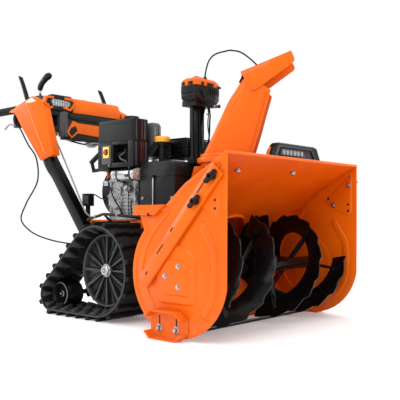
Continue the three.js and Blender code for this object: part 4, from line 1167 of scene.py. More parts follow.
def idler(name, side):
    spool = Shape()
    out = (side, 0, 0)
    centre = (0, *IDLER)
    a, b = IDLER_HALF
    rim = [(a, 38), (a, 50), (a + 8, 51), (a + 14, 46), (b - 14, 46), (b - 8, 51), (b - 1, 50), (b, 47),
           (b, 43),
           (b - 5, 40), (b - 14, 38), (a + 14, 38)]
    spool.spun(centre, out, rim, "black_plastic", 40, loop=True)
    web = [(b - 26, 12), (b - 18, 20), (b - 20, 40), (b - 26, 40)]
    spool.spun(centre, out, web, "black_plastic", 32, loop=True)
    spool.spun(centre, out, [(a + 4, 11), (a + 4, 19), (b - 10, 19), (b - 8, 17), (b - 8, 11)],
               "black_plastic", 24, loop=True)
    spool.spun(centre, out, [(b - 1.5, 49), (b + 0.4, 48.6), (b + 0.4, 44), (b - 1.5, 43.5)], "light_grey",
               40, loop=True)
    spool.spun((side * (b - 9), *IDLER), out, [(0, 15), (2, 15), (2.5, 14)], "bright_steel", 20)
    spool.bolt((side * (b - 7), *IDLER), direction(side, 0, 0), 14, 8, washer=False)
    return spool.done(f"{name}_idler_wheel", f"idler_wheel_{name}", bevel=0.6, sharp=40,
                      replaces=[f"idler_wheel_{name}"])


for name, side in SIDES.items():
    idler(name, side)
print("the idlers turn", round(BELT_R / IDLER_R, 2), "times as fast as the belt's big wheel")

# %% [markdown]
# ## The engine
# The crankcase is a casting: its walls are thin, so ribs stiffen it, and every joint face is ringed with
# bolts. The frame's block has the right size and stays. On it we lay the parts that the eye reads as an
# engine: cast ribs and bosses on the operator's right, cooling fins on the cylinder, and the bolts.

# %% Ribs, bosses and fins of the casting
BLOCK_SIDE = -118


def crankcase_details():
    cast = Shape()
    x = BLOCK_SIDE
    for k in range(7):
        z = 400 + 15 * k
        cast.box((x - 5, 716, z), (x + 1, 800, z + 4), "engine_alloy")
    for y in (712, 756, 800):
        cast.box((x - 8, y - 3, 398), (x + 1, y + 3, 520), "engine_alloy")
    cast.spun((x + 2, 836, 470), (-1, 0, 0), [(0, 44), (6, 43), (10, 36), (10, 30), (7, 27), (7, 12),
                                              (13, 10)],
              "engine_alloy", 28)
    for k in range(6):
        a = math.radians(60 * k + 20)
        cast.bolt((x - 7, 836 + 36 * math.cos(a), 470 + 36 * math.sin(a)), (-1, 0, 0), 8, 5)
    flange = rounded([(700, 392), (868, 392), (868, 548), (820, 562), (716, 548)], 14)
    steps = [(x, 0), (x - 4, 0), (x - 5, 1), (x - 5, 8), (x - 4, 9), (x, 9)]
    cast.stack(flange, "x", steps, "engine_alloy", caps=False)
    for y, z in ((706, 402), (706, 470), (712, 540), (784, 556), (862, 544), (862, 400), (784, 397)):
        cast.bolt((x - 4, y, z), (-1, 0, 0), 9, 6)
    neck = [(-122, 700, 520), (-134, 690, 540), (-140, 700, 556)]
    cast.tube(neck, 17, "engine_alloy", sides=14)
    cast.spun((-128, 742, 512), (-1, 0, 0.2), [(0, 15), (12, 15), (14, 12), (22, 12), (24, 9)],
              "engine_alloy", 18)
    cast.spun((-124, 776, 530), (-1, 0, 0), [(0, 12), (16, 11), (17, 8)], "engine_alloy", 16)
    cast.spun((-100, 690, 404), (0, -1, 0), [(0, 13), (10, 13), (10, 9), (16, 9)], "bright_steel", 6)
    return cast.done("crankcase_ribs", "root", bevel=0.8, sharp=40)


def cylinder_fins():
    fins = Shape()
    for k in range(12):
        z = 438 + 13 * k
        outline = rounded(rectangle(58, 712, 222, 854), 16)
        fins.prism(outline, "z", z, z + 3, "engine_alloy")
    fins.box((100, 722, 640), (186, 844, 646), "engine_alloy")
    for x, y in ((104, 730), (182, 730), (104, 836), (182, 836)):
        fins.bolt((x, y, 645), (0, 0, 1), 9, 4)
    fins.tube([(214, 760, 560), (232, 762, 566), (240, 775, 590), (226, 800, 650), (190, 812, 660)], 5,
              "rubber")
    return fins.done("cylinder_fins", "root", bevel=0.6, sharp=40)


crankcase_details()
cylinder_fins()
print("the casting has 7 ribs and the cylinder 12 fins")

# %% [markdown]
# The starter motor is a plain drum held by two black straps, with a plate on it and a bare end cap. It
# hangs under the black intake cover. A hose comes down out of the cover's recess and ends at the motor.

# %% Starter motor and hose
STARTER = (-152, 668, 568)


def starter_motor():
    motor = Shape()
    drum = [(0, 16), (0, 24), (3, 27), (14, 27), (15, 25.5), (118, 25.5), (119, 27), (131, 27), (131, 12)]
    motor.spun(STARTER, (0, 1, 0), drum, "bright_steel", 36)
    for at in (22, 98):
        motor.spun((STARTER[0], STARTER[1] + at, STARTER[2]), (0, 1, 0), [(0, 25), (0, 28), (6, 28), (6, 25)],
                   "black_steel", 36, loop=True)
    motor.box((-168, 773, 541), (-119, 805, 583), "engine_alloy")
    motor.spun(STARTER, (0, 1, 0), [(0, 25), (-1, 20), (-5, 24), (-5, 6), (-8, 5)], "end_cap", 36)
    for a in (60, 240):
        spot = (STARTER[0] + 16 * math.cos(math.radians(a)), STARTER[1] - 4, STARTER[2]
                + 16 * math.sin(math.radians(a)))
        motor.bolt(spot, (0, -1, 0), 6, 4, washer=False)
    motor.spun((-176, 706, 560), (-0.9, 0, 0.3), [(0, 6), (7, 6), (7, 3.5), (11, 3.5)], "black_plastic", 14)
    return motor.done("starter_motor_finished", "root", bevel=0.4, sharp=40, replaces=["starter_motor"])


starter_motor()
hose = Shape()
hose.tube([(-142, 742, 672), (-160, 738, 656), (-170, 752, 644), (-172, 742, 630), (-170, 720, 622),
           (-168, 706, 606),
           (-164, 700, 592)], 4.2, "grey_plastic", sides=12)
hose.tube([(-136, 760, 668), (-154, 764, 660), (-160, 778, 652), (-150, 786, 640)], 2.4, "black_plastic",
          sides=8)
hose.spun((-141, 742, 676), (-0.7, 0, -0.6), [(0, 7), (10, 7), (11, 5.5)], "black_plastic", 16)
hose.done("breather_hose", "root")
print("the starter is", 131 + 8, "mm long")

# %% [markdown]
# ## Hood: intake cover, tank and cowl
# Black boxes look alike until light finds their edges, so these are built from outlines with real corner
# radii. The tank's lid is a shallow step above its seam, the front of the hood is drawn into upright
# flutes, and a small panel carries the stop button on a yellow plate. Lettering is left out.

# %% Intake cover and fuel tank
HOOD = {"x": (-180, -92), "y": (664, 880), "z": (586, 702, 792)}


def fuel_tank():
    tank = Shape()
    (x0, x1), (y0, y1), (_, seam, top) = HOOD["x"], HOOD["y"], HOOD["z"]
    plan = rounded(rectangle(x0, y0, x1, y1), 13, 5)
    soft_top = [(top - 6 + 6 * share, inset) for share, inset in ((0, 0), (0.5, 0.8), (0.85, 2.4), (1, 5))]
    tank.stack(plan, "z", [(seam + 1, 0)] + soft_top, "black_plastic")
    lid = offset_inwards(plan, -0.8)
    tank.prism(lid, "z", top - 17, top - 15, "black_plastic")
    tank.spun((FUEL_CAP[0], FUEL_CAP[1], top - 1), (0, 0, 1), [(0, 40), (1.5, 39), (1.5, 34)],
              "black_plastic", 32)
    for k, (inset, look) in enumerate(((14, "grey_plastic"), (30, "black_plastic"), (44, "dark_red"),
                                       (60, "grey_plastic"))):
        tank.box((x0 + inset, y0 - 1.6, seam + 3), (x0 + inset + 8, y0 + 2, top - 8), look)
    return tank.done("fuel_tank_finished", "root", bevel=0.0, sharp=38, replaces=["fuel_tank"])


FUEL_CAP = (-136, 722)
fuel_tank()


def intake_cover():
    cover = Shape()
    (x0, x1), (y0, y1), (low, seam, _) = HOOD["x"], HOOD["y"], HOOD["z"]
    recess = (x0 + 50, 696, 786, 616, 690)
    cover.prism(rounded(rectangle(x0 + 50, y0, x1, y1), 3), "z", 598, seam, "black_plastic")
    for near, far in ((y0, recess[1]), (recess[2], y1)):
        cover.prism(rounded(rectangle(x0, near, x0 + 51, far), 6), "z", 598, seam, "black_plastic")
    for z0, z1 in ((598, recess[3]), (recess[4], seam)):
        cover.box((x0 + 0.4, recess[1] - 6, z0), (x0 + 51, recess[2] + 6, z1), "black_plastic")
    cover.box((x0 + 1, 813, low), (x1 - 1, y1 - 2, 600), "black_plastic")
    panel = rounded(rectangle(795, 612, 852, 690), 6)
    cover.prism(panel, "x", x0 - 2.2, x0 + 1, "grey_plastic")
    label = rounded(rectangle(806, 638, 842, 684), 5)
    cover.prism(label, "x", x0 - 3, x0 - 2, "yellow_label")
    cover.prism(rounded(rectangle(810, 670, 838, 674), 1.5), "x", x0 - 3.3, x0 - 2.8, "black_plastic")
    cover.spun((x0 - 2.6, 823, 661), (-1, 0, 0), [(0, 12), (1.4, 12), (1.8, 10.5)], "black_plastic", 24)
    for k in range(5):
        cover.box((x0 - 1.4, 858, 612 + 16 * k), (x0 + 1, 876, 619 + 16 * k), "black_plastic")
    for inset, look in ((12, "grey_plastic"), (26, "black_plastic"), (40, "dark_red"), (52, "dark_red"),
                        (66, "grey_plastic")):
        cover.box((x0 + inset, y0 - 1.6, 602), (x0 + inset + 9, y0 + 2, seam - 4), look)
    cover.tube([(x0 + 20, 700, 690), (x0 + 16, 702, 660), (x0 + 22, 706, 620)], 3.5, "black_plastic")
    cover.bolt((x0 + 2, 806, 606), (-1, 0, 0), 8, 4)
    return cover.done("intake_cover_finished", "root", bevel=1.2, sharp=40, replaces=["intake_cover"])


intake_cover()
print("hood:", HOOD)

# %% [markdown]
# A cap that is turned by a gloved hand needs something to hold. Its wall is a circle with a shallow groove
# at every fourth point, and a bar across its dished top gives the fingers a second hold. One helper makes
# both the black fuel cap and the yellow oil cap.

# %% Fuel cap and oil cap


def gripped_cap(name, body, spot, radius, height, look, grips):
    """A screw cap: a fluted wall that fingers can hold, and a dished top."""
    cap = Shape()
    rings = []
    for z, share in ((0, 1), (height * 0.7, 1), (height * 0.92, 0.96), (height, 0.88), (height, 0.6),
                     (height - 1.6, 0.55)):
        ring = []
        for k in range(grips * 4):
            a = 2 * math.pi * k / (grips * 4)
            flute = 1 - 0.05 * (k % 4 == 0) * (share > 0.9)
            ring.append(place(spot[0] + radius * share * flute * math.cos(a), spot[1]
                              + radius * share * flute * math.sin(a),
                              spot[2] + z))
        rings.append(ring)
    cap.loft(rings, look)
    cap.box((spot[0] - radius * 0.5, spot[1] - 3, spot[2] + height - 2),
            (spot[0] + radius * 0.5, spot[1] + 3, spot[2] + height + 1), look)
    return cap.done(name + "_finished", body, bevel=0.5, sharp=45, replaces=[name])


gripped_cap("fuel_cap", "fuel_cap", (*FUEL_CAP, 792.8), 32, 12, "black_plastic", 20)
gripped_cap("oil_cap", "oil_cap", (-66, 614, 698.4), 31, 22, "yellow_plastic", 16)
print("two caps with finger grips")

# %% [markdown]
# The cowl over the cylinder is grey, with flutes down its front. The muffler is a black can inside a guard
# of crossed wires, which keeps gloves off the hot metal. A loop lays each wire, so the mesh can be made
# finer by changing one number.

# %% Cowl and muffler guard
cowl = Shape()
COWL_SIDES = [(-76, -32, 782, "grey_plastic"), (-34, 196, 722, "black_plastic")]
for low_x, high_x, top, look in COWL_SIDES:
    side_view = [(652, 706), (652, top - 14), (664, top), (850, top), (862, top - 6), (867, top - 16),
                 (867, 650), (702, 650)]
    steps = [(low_x, 4), (low_x + 2, 1), (low_x + 5, 0), (high_x - 5, 0), (high_x - 2, 1), (high_x, 4)]
    cowl.stack(side_view, "x", steps, look)
for x, wide in ((-72, 6), (-62, 5), (-47, 9)):
    cowl.box((x, 649, 712), (x + wide, 655, 766), "light_grey")
for k in range(8):
    cowl.box((-20 + 26 * k, 700, 721), (-8 + 26 * k, 840, 724), "black_steel")
for k in range(5):
    cowl.box((195, 700 + 30 * k, 660), (198, 712 + 30 * k, 708), "black_steel")
cowl.done("engine_cowl_finished", "root", bevel=0.8, sharp=35, replaces=["engine_cowl"])

MUFFLER = ((-8, 528, 632), (150, 640, 716))
WIRE_STEP = 15
guard = Shape()
(x0, y0, z0), (x1, y1, z1) = MUFFLER
outline = rounded(rectangle(y0, z0, y1, z1), 16)
guard.stack(outline, "x", [(x0 + 8, 10), (x0 + 12, 6), (x1 - 12, 6), (x1 - 8, 10)], "black_steel")
guard.tube([(138, 610, 640), (138, 620, 600), (138, 640, 566), (138, 715, 560)], 16, "black_steel", sides=16)
wire = 1.4
for k in range(int((x1 - x0) / WIRE_STEP) + 1):
    x = x0 + WIRE_STEP * k
    guard.tube([(x, y1, z0 + 4), (x, y0 + 2, z0 + 4), (x, y0, z0 + 10), (x, y0, z1 - 6), (x, y0 + 6, z1),
                (x, y1, z1)],
               wire, "black_steel", sides=6, smooth=0)
for k in range(6):
    z = z0 + 6 + WIRE_STEP * k
    guard.tube([(x0, y1, z), (x0, y0 + 1, z), (x1, y0 + 1, z), (x1, y1, z)], wire, "black_steel", sides=6,
               smooth=0)
for k in range(7):
    y = y0 + 12 + WIRE_STEP * k
    guard.tube([(x0, y, z0 + 4), (x0, y, z1), (x1, y, z1), (x1, y, z0 + 4)], wire, "black_steel", sides=6,
               smooth=0)
guard.done("muffler_finished", "root", sharp=40, replaces=["muffler"])
print("guard wires every", WIRE_STEP, "mm")

# %% [markdown]
# ## Belt cover, guards and the small things round the engine
# The belt cover has a large round along its front and a seam with a clip halfway up. Round it run the
# pieces that make a machine look used rather than drawn: a guard tube, the shift rod, a relay in its
# bracket, wires tied to the frame.

# %% Belt cover
cover = Shape()
COVER_SIDE = [(656, 392), (466, 446)] + arc((500, 580), 34, 180, 90, 7) + [(656, 614)]
steps = [(-150, 5), (-148.5, 1.5), (-144, 0), (106, 0), (110.5, 1.5), (112, 5)]
cover.stack(COVER_SIDE, "x", steps, "black_plastic")
for x in (-150.8, 111.2):
    cover.box((x, 468, 553), (x + 1.6, 655, 556), "black_steel")
cover.box((-150, 464.5, 553), (112, 466, 556.5), "black_steel")
cover.tube([(-154, 578, 412), (-154, 578, 552)], 3, "bright_steel", smooth=0)
cover.box((-157, 571, 549), (-149, 585, 560), "black_steel")
cover.box((-157, 571, 408), (-149, 585, 416), "black_steel")
cover.prism(rounded(rectangle(-140, 560, -96, 612), 8), "z", 613.6, 615.4, "black_steel")
for x, y in ((-130, 574), (-108, 596)):
    cover.bolt((x, y, 615), (0, 0, 1), 9, 6)
for y in (480, 640):
    cover.bolt((-150, y, 470), (-1, 0, 0), 8, 4)
cover.done("belt_cover_finished", "root", bevel=0.6, sharp=38, replaces=["belt_cover"])

# %% Guard tube, shift rod, relay and wires
rails = Shape()
rails.tube([(-128, 990, 352), (-152, 972, 378), (-170, 950, 386), (-170, 880, 401), (-170, 846, 407),
            (-170, 740, 401),
            (-170, 637, 394), (-152, 612, 388), (-128, 604, 372)], 6, "black_steel", sides=12, smooth=5)
rails.tube([(-170, 846, 404), (-152, 850, 392), (-128, 852, 372)], 5, "black_steel")
rails.tube([(-170, 1194, 761), (-170, 1111, 637), (-170, 1024, 500), (-168, 976, 421), (-150, 960, 396)], 3.5,
           "light_grey", sides=10)
rails.box((-134, 991, 443), (-106, 1038, 497), "black_plastic")
rails.box((-137, 996, 452), (-133, 1032, 488), "grey_plastic")
rails.box((-126, 1006, 392), (-114, 1024, 444), "black_plastic")
rails.tube([(-120, 1015, 394), (-124, 1008, 376), (-130, 1000, 356)], 5, "black_steel")
rails.tube([(-120, 992, 480), (-122, 968, 492), (-122, 930, 476), (-118, 890, 470)], 2.6, "black_plastic")
rails.tube([(-122, 868, 520), (-134, 850, 512), (-138, 826, 474), (-134, 800, 440), (-126, 788, 408)], 3.2,
           "black_plastic")
rails.tube([(-124, 700, 500), (-136, 684, 470), (-134, 676, 430), (-126, 680, 400)], 3.2, "black_plastic")
rails.tube([(-124, 730, 470), (-132, 726, 440), (-130, 724, 404)], 2.6, "rubber")
for y, z in ((762, 404), (900, 398)):
    rails.bolt((-176, y, z), (-1, 0, 0), 9, 5)
rails.done("guard_and_wires", "root", bevel=0.7, sharp=50)
print("guard, rod, relay and wires in place")

# %% [markdown]
# The fan cover breathes through two rings of short slots. The starter's rope comes out beside it: it
# blends from the machine to the handle, so that a pull on the handle draws out rope instead of leaving a
# gap behind it.

# %% Fan cover and starter rope
fan = Shape()
for a in turns(26):
    for radius, length in ((46, 20), (72, 14)):
        c, s = math.cos(a), math.sin(a)
        fan.tube([(radius * c, 951, 500 + radius * s),
                  ((radius + length) * c, 949.5, 500 + (radius + length) * s)], 2.2,
                 "black_steel", sides=6, smooth=0)
fan.spun((0, 948, 500), (0, 1, 0), [(0, 34), (5, 33), (7, 28), (7, 0.5)], "black_plastic", 32)
for a in (35, 145, 215, 325):
    c, s = math.cos(math.radians(a)), math.sin(math.radians(a))
    fan.bolt((104 * c, 926, 504 + 104 * s), (0, 1, 0), 9, 6)
fan.tube([(-118, 880, 560), (-121, 884, 596), (-112, 888, 612)], 6, "orange_plastic", sides=10)
fan.box((-119, 884, 528), (-115, 918, 548), "bright_steel")
fan.done("fan_cover_details", "root", bevel=0.4, sharp=45)
rope = Shape()
rope.tube([(-70, y, 618) for y in range(905, 946)], 2.5, "black_plastic", smooth=0)
rope = rope.done("starter_rope", None)
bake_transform(rope, "root", "recoil_handle", start=place(-70, 905, 618), end=place(-70, 930, 618))
print("the fan cover has", 2 * 26, "slots")

# %% [markdown]
# ## Handlebars and console
# Everything the operator touches is moulded: it has wide chamfers, ribs for grip and no thin edges. The
# console's front is built in three depths. A square hand hold comes first, then a slanted grey facet, and
# then a black panel with an orange frame on it. Two orange brackets hold the long head lamp.

# %% Console front


def front_panel(shape, outline, low, high, look, radius=3, slope=1.5):
    """A plate facing forwards, from y high out to y low, with a sloping rim."""
    plan = rounded(outline, radius, 2)
    steps = [(high, 0), (low + slope, 0), (low, slope)]
    shape.stack(plan, "y", steps, look)


HAND_HOLD = [(-210, 884), (-146, 876), (-150, 778), (-210, 778)]
HAND_WINDOW = [(-200, 850), (-160, 850), (-166, 802), (-196, 806)]
PANEL_FRAME = [(-89, 834), (-121, 779), (-96, 752), (-60, 778), (200, 764), (200, 822), (-58, 826)]


def console_front():
    front = Shape()
    outer = rounded(HAND_HOLD, 8, 3)
    window = rounded(HAND_WINDOW, 5, 3)
    steps = [(outer, 1198, 0), (outer, 1183, 0), (outer, 1179, 4), (window, 1179, -4), (window, 1184, 0),
             (window, 1214, 5)]
    front.loft([level("y", y, offset_inwards(line, inset)) for line, y, inset in steps], "black_plastic",
               caps=False)
    front_panel(front, [(-196, 846), (-166, 846), (-170, 806), (-192, 806)], 1211, 1214, "black_plastic")
    front_panel(front, [(-198, 842), (-184, 842), (-186, 812), (-196, 814)], 1203, 1211, "orange_plastic", 2)
    facet = [[(-148, 1192), (-150, 1181), (-122, 1163), (-112, 1167), (-112, 1192)],
             [(-150, 1192), (-152, 1182), (-126, 1163), (-112, 1167), (-112, 1192)]]
    front.loft([level("z", z, row) for row, z in zip(facet, (758, 872))], "grey_plastic")
    front_panel(front, [(-112, 866), (208, 852), (208, 838), (-104, 842)], 1161, 1169, "black_plastic")
    front_panel(front, PANEL_FRAME, 1162, 1168, "orange_plastic", 2)
    front_panel(front, [(-100, 800), (-112, 779), (-94, 762), (-62, 790), (-74, 812)], 1160.5, 1163,
                "black_plastic", 2)
    front_panel(front, [(-118, 762), (-96, 742), (-40, 742), (-24, 750), (205, 748), (205, 760), (-58, 774)],
                1163, 1169,
                "black_plastic")
    for k in range(4):
        front.bolt((-30 + 74 * k, 1161, 846), (0, -1, 0), 5, 2, "black_steel", washer=False)
    return front.done("console_front", "root", bevel=0.8, sharp=30)


console_front()
print("the console's front has", len(PANEL_FRAME), "corners on its orange frame")

# %% [markdown]
# The head lamp is a long six-cornered lens in a black rim. The rim is one loft that runs along the outside,
# over its front edge and back in to the glass. An orange bracket hooks round each end: a square bar that
# follows a bent path.

# %% Head lamp and its two brackets
LAMP_Y = 1172
GLASS = [(-196, 930), (-96, 930), (-86, 908), (-98, 888), (-196, 888), (-207, 909)]


def head_lamp():
    lamp = Shape()
    steps = [(1189, 1), (LAMP_Y + 6, 0), (LAMP_Y + 3, 3), (LAMP_Y + 2, 9)]
    lamp.stack(rounded(GLASS, 7), "y", steps, "lamp_lens")
    return lamp.done("headlight_finished", "root", bevel=0, sharp=50, replaces=["headlight"])


def bar_along(shape, path, half, depth, look):
    """A square bar along a path of (x, z) points, between two values of y."""
    rings = []
    for i, (x, z) in enumerate(path):
        ahead, behind = path[min(i + 1, len(path) - 1)], path[max(i - 1, 0)]
        along = Vector((ahead[0] - behind[0], ahead[1] - behind[1])).normalized()
        dx, dz = -along.y * half, along.x * half
        near, far = depth
        rings.append([place(x - dx, far, z - dz), place(x - dx, near, z - dz), place(x + dx, near, z + dz),
                      place(x + dx, far, z + dz)])
    shape.loft(rings, look)


def lamp_surround():
    rim = Shape()
    outer = rounded([(-200, 944), (-92, 944), (-72, 908), (-92, 872), (-200, 872), (-222, 909)], 8)
    inner = rounded([(-192, 924), (-100, 924), (-92, 908), (-102, 893), (-192, 893), (-201, 909)], 7)
    steps = [(outer, 1196, 0), (outer, LAMP_Y + 1, 0), (outer, LAMP_Y - 3, 4), (inner, LAMP_Y - 3, -3),
             (inner, LAMP_Y + 2, 0)]
    rim.loft([level("y", y, offset_inwards(line, inset)) for line, y, inset in steps], "black_plastic",
             caps=False)
    for path in ([(-134, 930), (-102, 930), (-77, 920), (-85, 900), (-103, 880), (-140, 889)],
                 [(-194, 928), (-232, 926), (-240, 900), (-212, 879), (-198, 886)]):
        bar_along(rim, path, 5.5, (LAMP_Y - 9, LAMP_Y + 12), "orange_plastic")
    return rim.done("headlight_surround", "root", bevel=0.6, sharp=30)


head_lamp()
lamp_surround()
print("the head lamp spans", GLASS[2][0] - GLASS[5][0], "mm")

# %% [markdown]
# The speed lever has a bare steel stem and a soft black grip with a grey inlay. The grip is a stack of
# ovals along a leaning line, wide at the top. Clutch levers are long black paddles that taper upwards.

# %% Speed lever


def paddle(shape, route, look, sides=14):
    """Ovals along a route of (x, y, z, half width across x, half width across y)."""
    rings = []
    for x, y, z, wide, deep in route:
        ring = [(x + wide * math.cos(a), y + deep * math.sin(a), z + 0.35 * deep * math.sin(a))
                for a in turns(sides)]
        rings.append([place(*at) for at in ring])
    shape.loft(rings, look)


STICK_X = -184
stick = Shape()
stick.spun((STICK_X, 1283, 905), (0, -0.02, 1), [(0, 5.5), (50, 5.5), (52, 7), (58, 7), (60, 5), (80, 5)],
           "bright_steel", 18)
stick.spun((STICK_X - 8, 1283, 905), (1, 0, 0), [(0, 5), (1, 10), (15, 10), (16, 5)], "black_steel", 18)
grip_line = [(1284, 974, 9), (1283, 980, 12), (1279, 992, 13.5), (1267, 1006, 13), (1251, 1017, 14),
             (1236, 1026, 15.5),
             (1224, 1031, 16), (1213, 1032, 15), (1205, 1031, 10)]
stick_rings = []
for i, (y, z, r) in enumerate(grip_line):
    before, after = grip_line[max(i - 1, 0)], grip_line[min(i + 1, len(grip_line) - 1)]
    along = direction(0, after[0] - before[0], after[1] - before[1])
    up = Vector((0, -along.z, along.y))
    across = Vector((1, 0, 0))
    stick_rings.append([place(STICK_X, y, z) + (across * math.cos(a) * 0.95 + up * math.sin(a)) * (r * MM)
                        for a in turns(18)])
stick.loft(stick_rings, "black_plastic")
inlay = [(1280, 990), (1269, 1003), (1255, 1013), (1240, 1022)]
stick.tube([(STICK_X - 9, y, z) for y, z in inlay], 6.5, "grey_plastic", sides=12)
stick.done("speed_lever_finished", "speed_lever", sharp=50, replaces=["speed_lever"])

# %% [markdown]
# Each clutch lever is a stack of ovals that leans back as it rises. The rubber grip is one spun profile: a
# ring, then a row of ribs that keep a wet glove from sliding, then a rounded end.

# %% Clutch levers and grips
for name, side in SIDES.items():
    x = side * 236
    lever = Shape()
    paddle(lever, [(x, 1303, 914, 6, 8), (x, 1308, 932, 9, 16), (x, 1321, 962, 9, 15.5),
                   (x, 1342, 1004, 8.5, 15),
                   (x, 1358, 1032, 8.5, 15), (x, 1361, 1038, 8, 14.5), (x, 1362, 1041, 6, 12),
                   (x, 1362, 1042, 3, 6)],
           "black_steel")
    lever.spun((x - 8, 1303, 914), (1, 0, 0), [(0, 6), (1, 8), (15, 8), (16, 6)], "black_steel", 20)
    lever.done(f"clutch_lever_{name}_finished", f"clutch_lever_{name}", sharp=50,
               replaces=[f"clutch_lever_{name}"])
    handle = Shape()
    profile = [(0, 14), (0, 17.6), (4, 18), (9, 18), (10, 17)]
    for k in range(17):
        start = 12 + 9.5 * k
        profile += [(start, 16.4), (start + 1, 17.7), (start + 6, 17.7), (start + 7, 16.4)]
    profile += [(178, 17.8), (184, 17.6), (187.7, 14), (188, 8)]
    handle.spun((side * 232, 1402, 891), (0, 1, 0), profile, "rubber", 28)
    handle.done(f"grip_{name}_finished", "root", sharp=50, replaces=[f"grip_{name}"])
print("grips with 17 ribs each")

# %% [markdown]
# The lock lever is a bent bar of pale steel in a black clamp. The shroud above it has one sharp ridge
# down its outer face, drawn with a thin line of painted highlight, and a painted glint on the two facets at
# its crown.

# %% Lock lever, clamp and shroud ridges
LOCK = (-251, 1384, 816)
lock = Shape()
blade = [(LOCK[0], 1388, 815), (LOCK[0], 1408, 821), (LOCK[0], 1424, 823), (LOCK[0], 1440, 818),
         (LOCK[0], 1454, 808),
         (LOCK[0], 1463, 803)]
lock.tube(blade, 5, "light_grey", sides=12, smooth=5, flat=0.8)
lock.spun((LOCK[0] - 6, LOCK[1], LOCK[2]), (1, 0, 0), [(0, 5), (1, 7), (11, 7), (12, 5)], "light_grey", 18)
lock.done("lock_lever_finished", "lock_lever", sharp=50, replaces=["lock_lever"])
clamp = Shape()
clamp.tube([(-244, 1386, 866), (-250, 1384, 850), (-251, 1380, 832), (-250, 1376, 822)], 8, "black_plastic",
           sides=12)
clamp.box((-248, 1362, 806), (-238, 1396, 836), "black_plastic")
clamp.tube([(-243, 1366, 812), (-246, 1356, 806), (-244, 1350, 802)], 5.5, "black_plastic")
clamp.spun((-243, 1384, 874), (0, 0, -1), [(0, 10), (6, 10), (8, 8)], "black_plastic", 18)
clamp.done("lock_clamp", "root", bevel=0.8, sharp=40)


def shroud_face(a, b, c):
    """The x of a flat face through three (x, y, z) corners, at any y and z."""
    a, b, c = Vector(a), Vector(b), Vector(c)
    normal = (b - a).cross(c - a)
    return lambda y, z: a.x - (normal.y * (y - a.y) + normal.z * (z - a.z)) / normal.x


for name, side in SIDES.items():
    crown, front_edge, rear_edge, ridge = (250, 1247, 935), (250, 1172, 900), (250, 1437, 885), (270, 1262,
                                                                                                 900)
    trim = Shape()
    ridge_route = [(side * 270.4, 1262 - 13 * k, 900 - 22 * k) for k in range(11)]
    # The ridge's thin tube is painted highlight.
    trim.tube(ridge_route, 1.3, "light_orange", sides=6, smooth=0)
    fore = shroud_face(crown, front_edge, ridge)
    aft = shroud_face(crown, rear_edge, ridge)
    # Two thin plates on the crown's facets carry a painted glint.
    for face, corners in ((fore, [(1246.5, 928), (1214, 909), (1256, 903)]),
                          (aft, [(1248, 928), (1286, 913), (1262, 904)])):
        low = [place(side * (face(y, z) - 1), y, z) for y, z in corners]
        high = [place(side * (face(y, z) + 0.5), y, z) for y, z in corners]
        trim.loft([low, high], "glint")
    trim.tube([(side * 252.6, 1224, 728), (side * 261, 1178, 712), (side * 263, 1142, 696)], 1.2,
              "orange_paint", sides=6)
    trim.done(f"shroud_ridge_{name}", "root", sharp=40)
print("the shroud ridge runs", round(math.hypot(130, 220)), "mm")

# %% [markdown]
# The underside of the console is where its wires leave. A pale domed fitting hangs there with a wire looped
# beside it, and a longer cable runs down to the frame on the operator's right. Two bolts hold each leg,
# one screw shows on each shroud, and a small black knob stands on top of the console.

# %% Under the console, and bolts on the legs
under = Shape()
under.spun((42, 1190, 744), (0, 0, -1), [(0, 30), (8, 30), (17, 24), (22, 14), (23, 3)], "light_grey", 28)
under.box((26, 1156, 732), (58, 1162, 737), "black_steel")
under.tube([(30, 1200, 752), (10, 1194, 736), (-40, 1206, 742), (-110, 1230, 760)], 4, "black_plastic")
under.box((-190, 1194, 762), (-150, 1240, 777), "orange_plastic")
under.tube([(-214, 1220, 776), (-228, 1208, 700), (-216, 1176, 600), (-150, 1100, 470), (-126, 1014, 372)],
           3.2, "black_plastic", sides=8)
for side in SIDES.values():
    for y, z in ((1030, 372), (1062, 424)):
        under.bolt((side * 136, y, z), (side, 0, 0), 12, 7)
    under.bolt((side * 262, 1250, 872), (side, 0, 0), 7, 4, "black_steel")
under.spun((71, 1290, 951), (0, 0, 1), [(0, 9), (5, 9), (6, 7), (12, 7), (13, 5)], "black_plastic", 18)
under.done("console_underside", "root", bevel=0.6, sharp=40)
print("two bolts hold each leg")

# %% [markdown]
# ## Chute and its cap
# The chute is one sheet bent to a deep U that leans forward as it rises, so that snow turns without
# slowing down. It is drawn as level slices: every slice is the same U, with its back and its lips further
# forward than the slice below. The slices are given in the chute's own frame and then turned with it.

# %% The chute's own frame
CHUTE_TURN = math.radians(33)
CHUTE_AXIS_Y = 340
CHUTE_HALF = 72
CHUTE_WALL = 4


def in_chute(s, u, z):
    """A point s forward of the chute's axis and u to its left, at height z."""
    c, d = math.cos(CHUTE_TURN), math.sin(CHUTE_TURN)
    return place(s * d + u * c, CHUTE_AXIS_Y - s * c + u * d, z)


def between(line, z):
    """The s of a broken line of (s, z) points at height z."""
    for (s0, z0), (s1, z1) in zip(line, line[1:]):
        if min(z0, z1) <= z <= max(z0, z1):
            return s0 + (s1 - s0) * (z - z0) / (z1 - z0)
    return line[-1][0] if z > line[-1][1] else line[0][0]


CHUTE_BACK = [(-84, 622), (-63, 664), (-42, 707), (-27, 741), (-10, 775), (3, 803), (17, 832), (28, 851),
              (41, 869),
              (54, 891), (69, 914)]
CHUTE_LIP = [(104, 622), (111, 636), (135, 715), (155, 789), (177, 866)]
CHUTE_TIP = [(177, 866), (171, 874), (161, 880), (128, 897), (96, 914)]


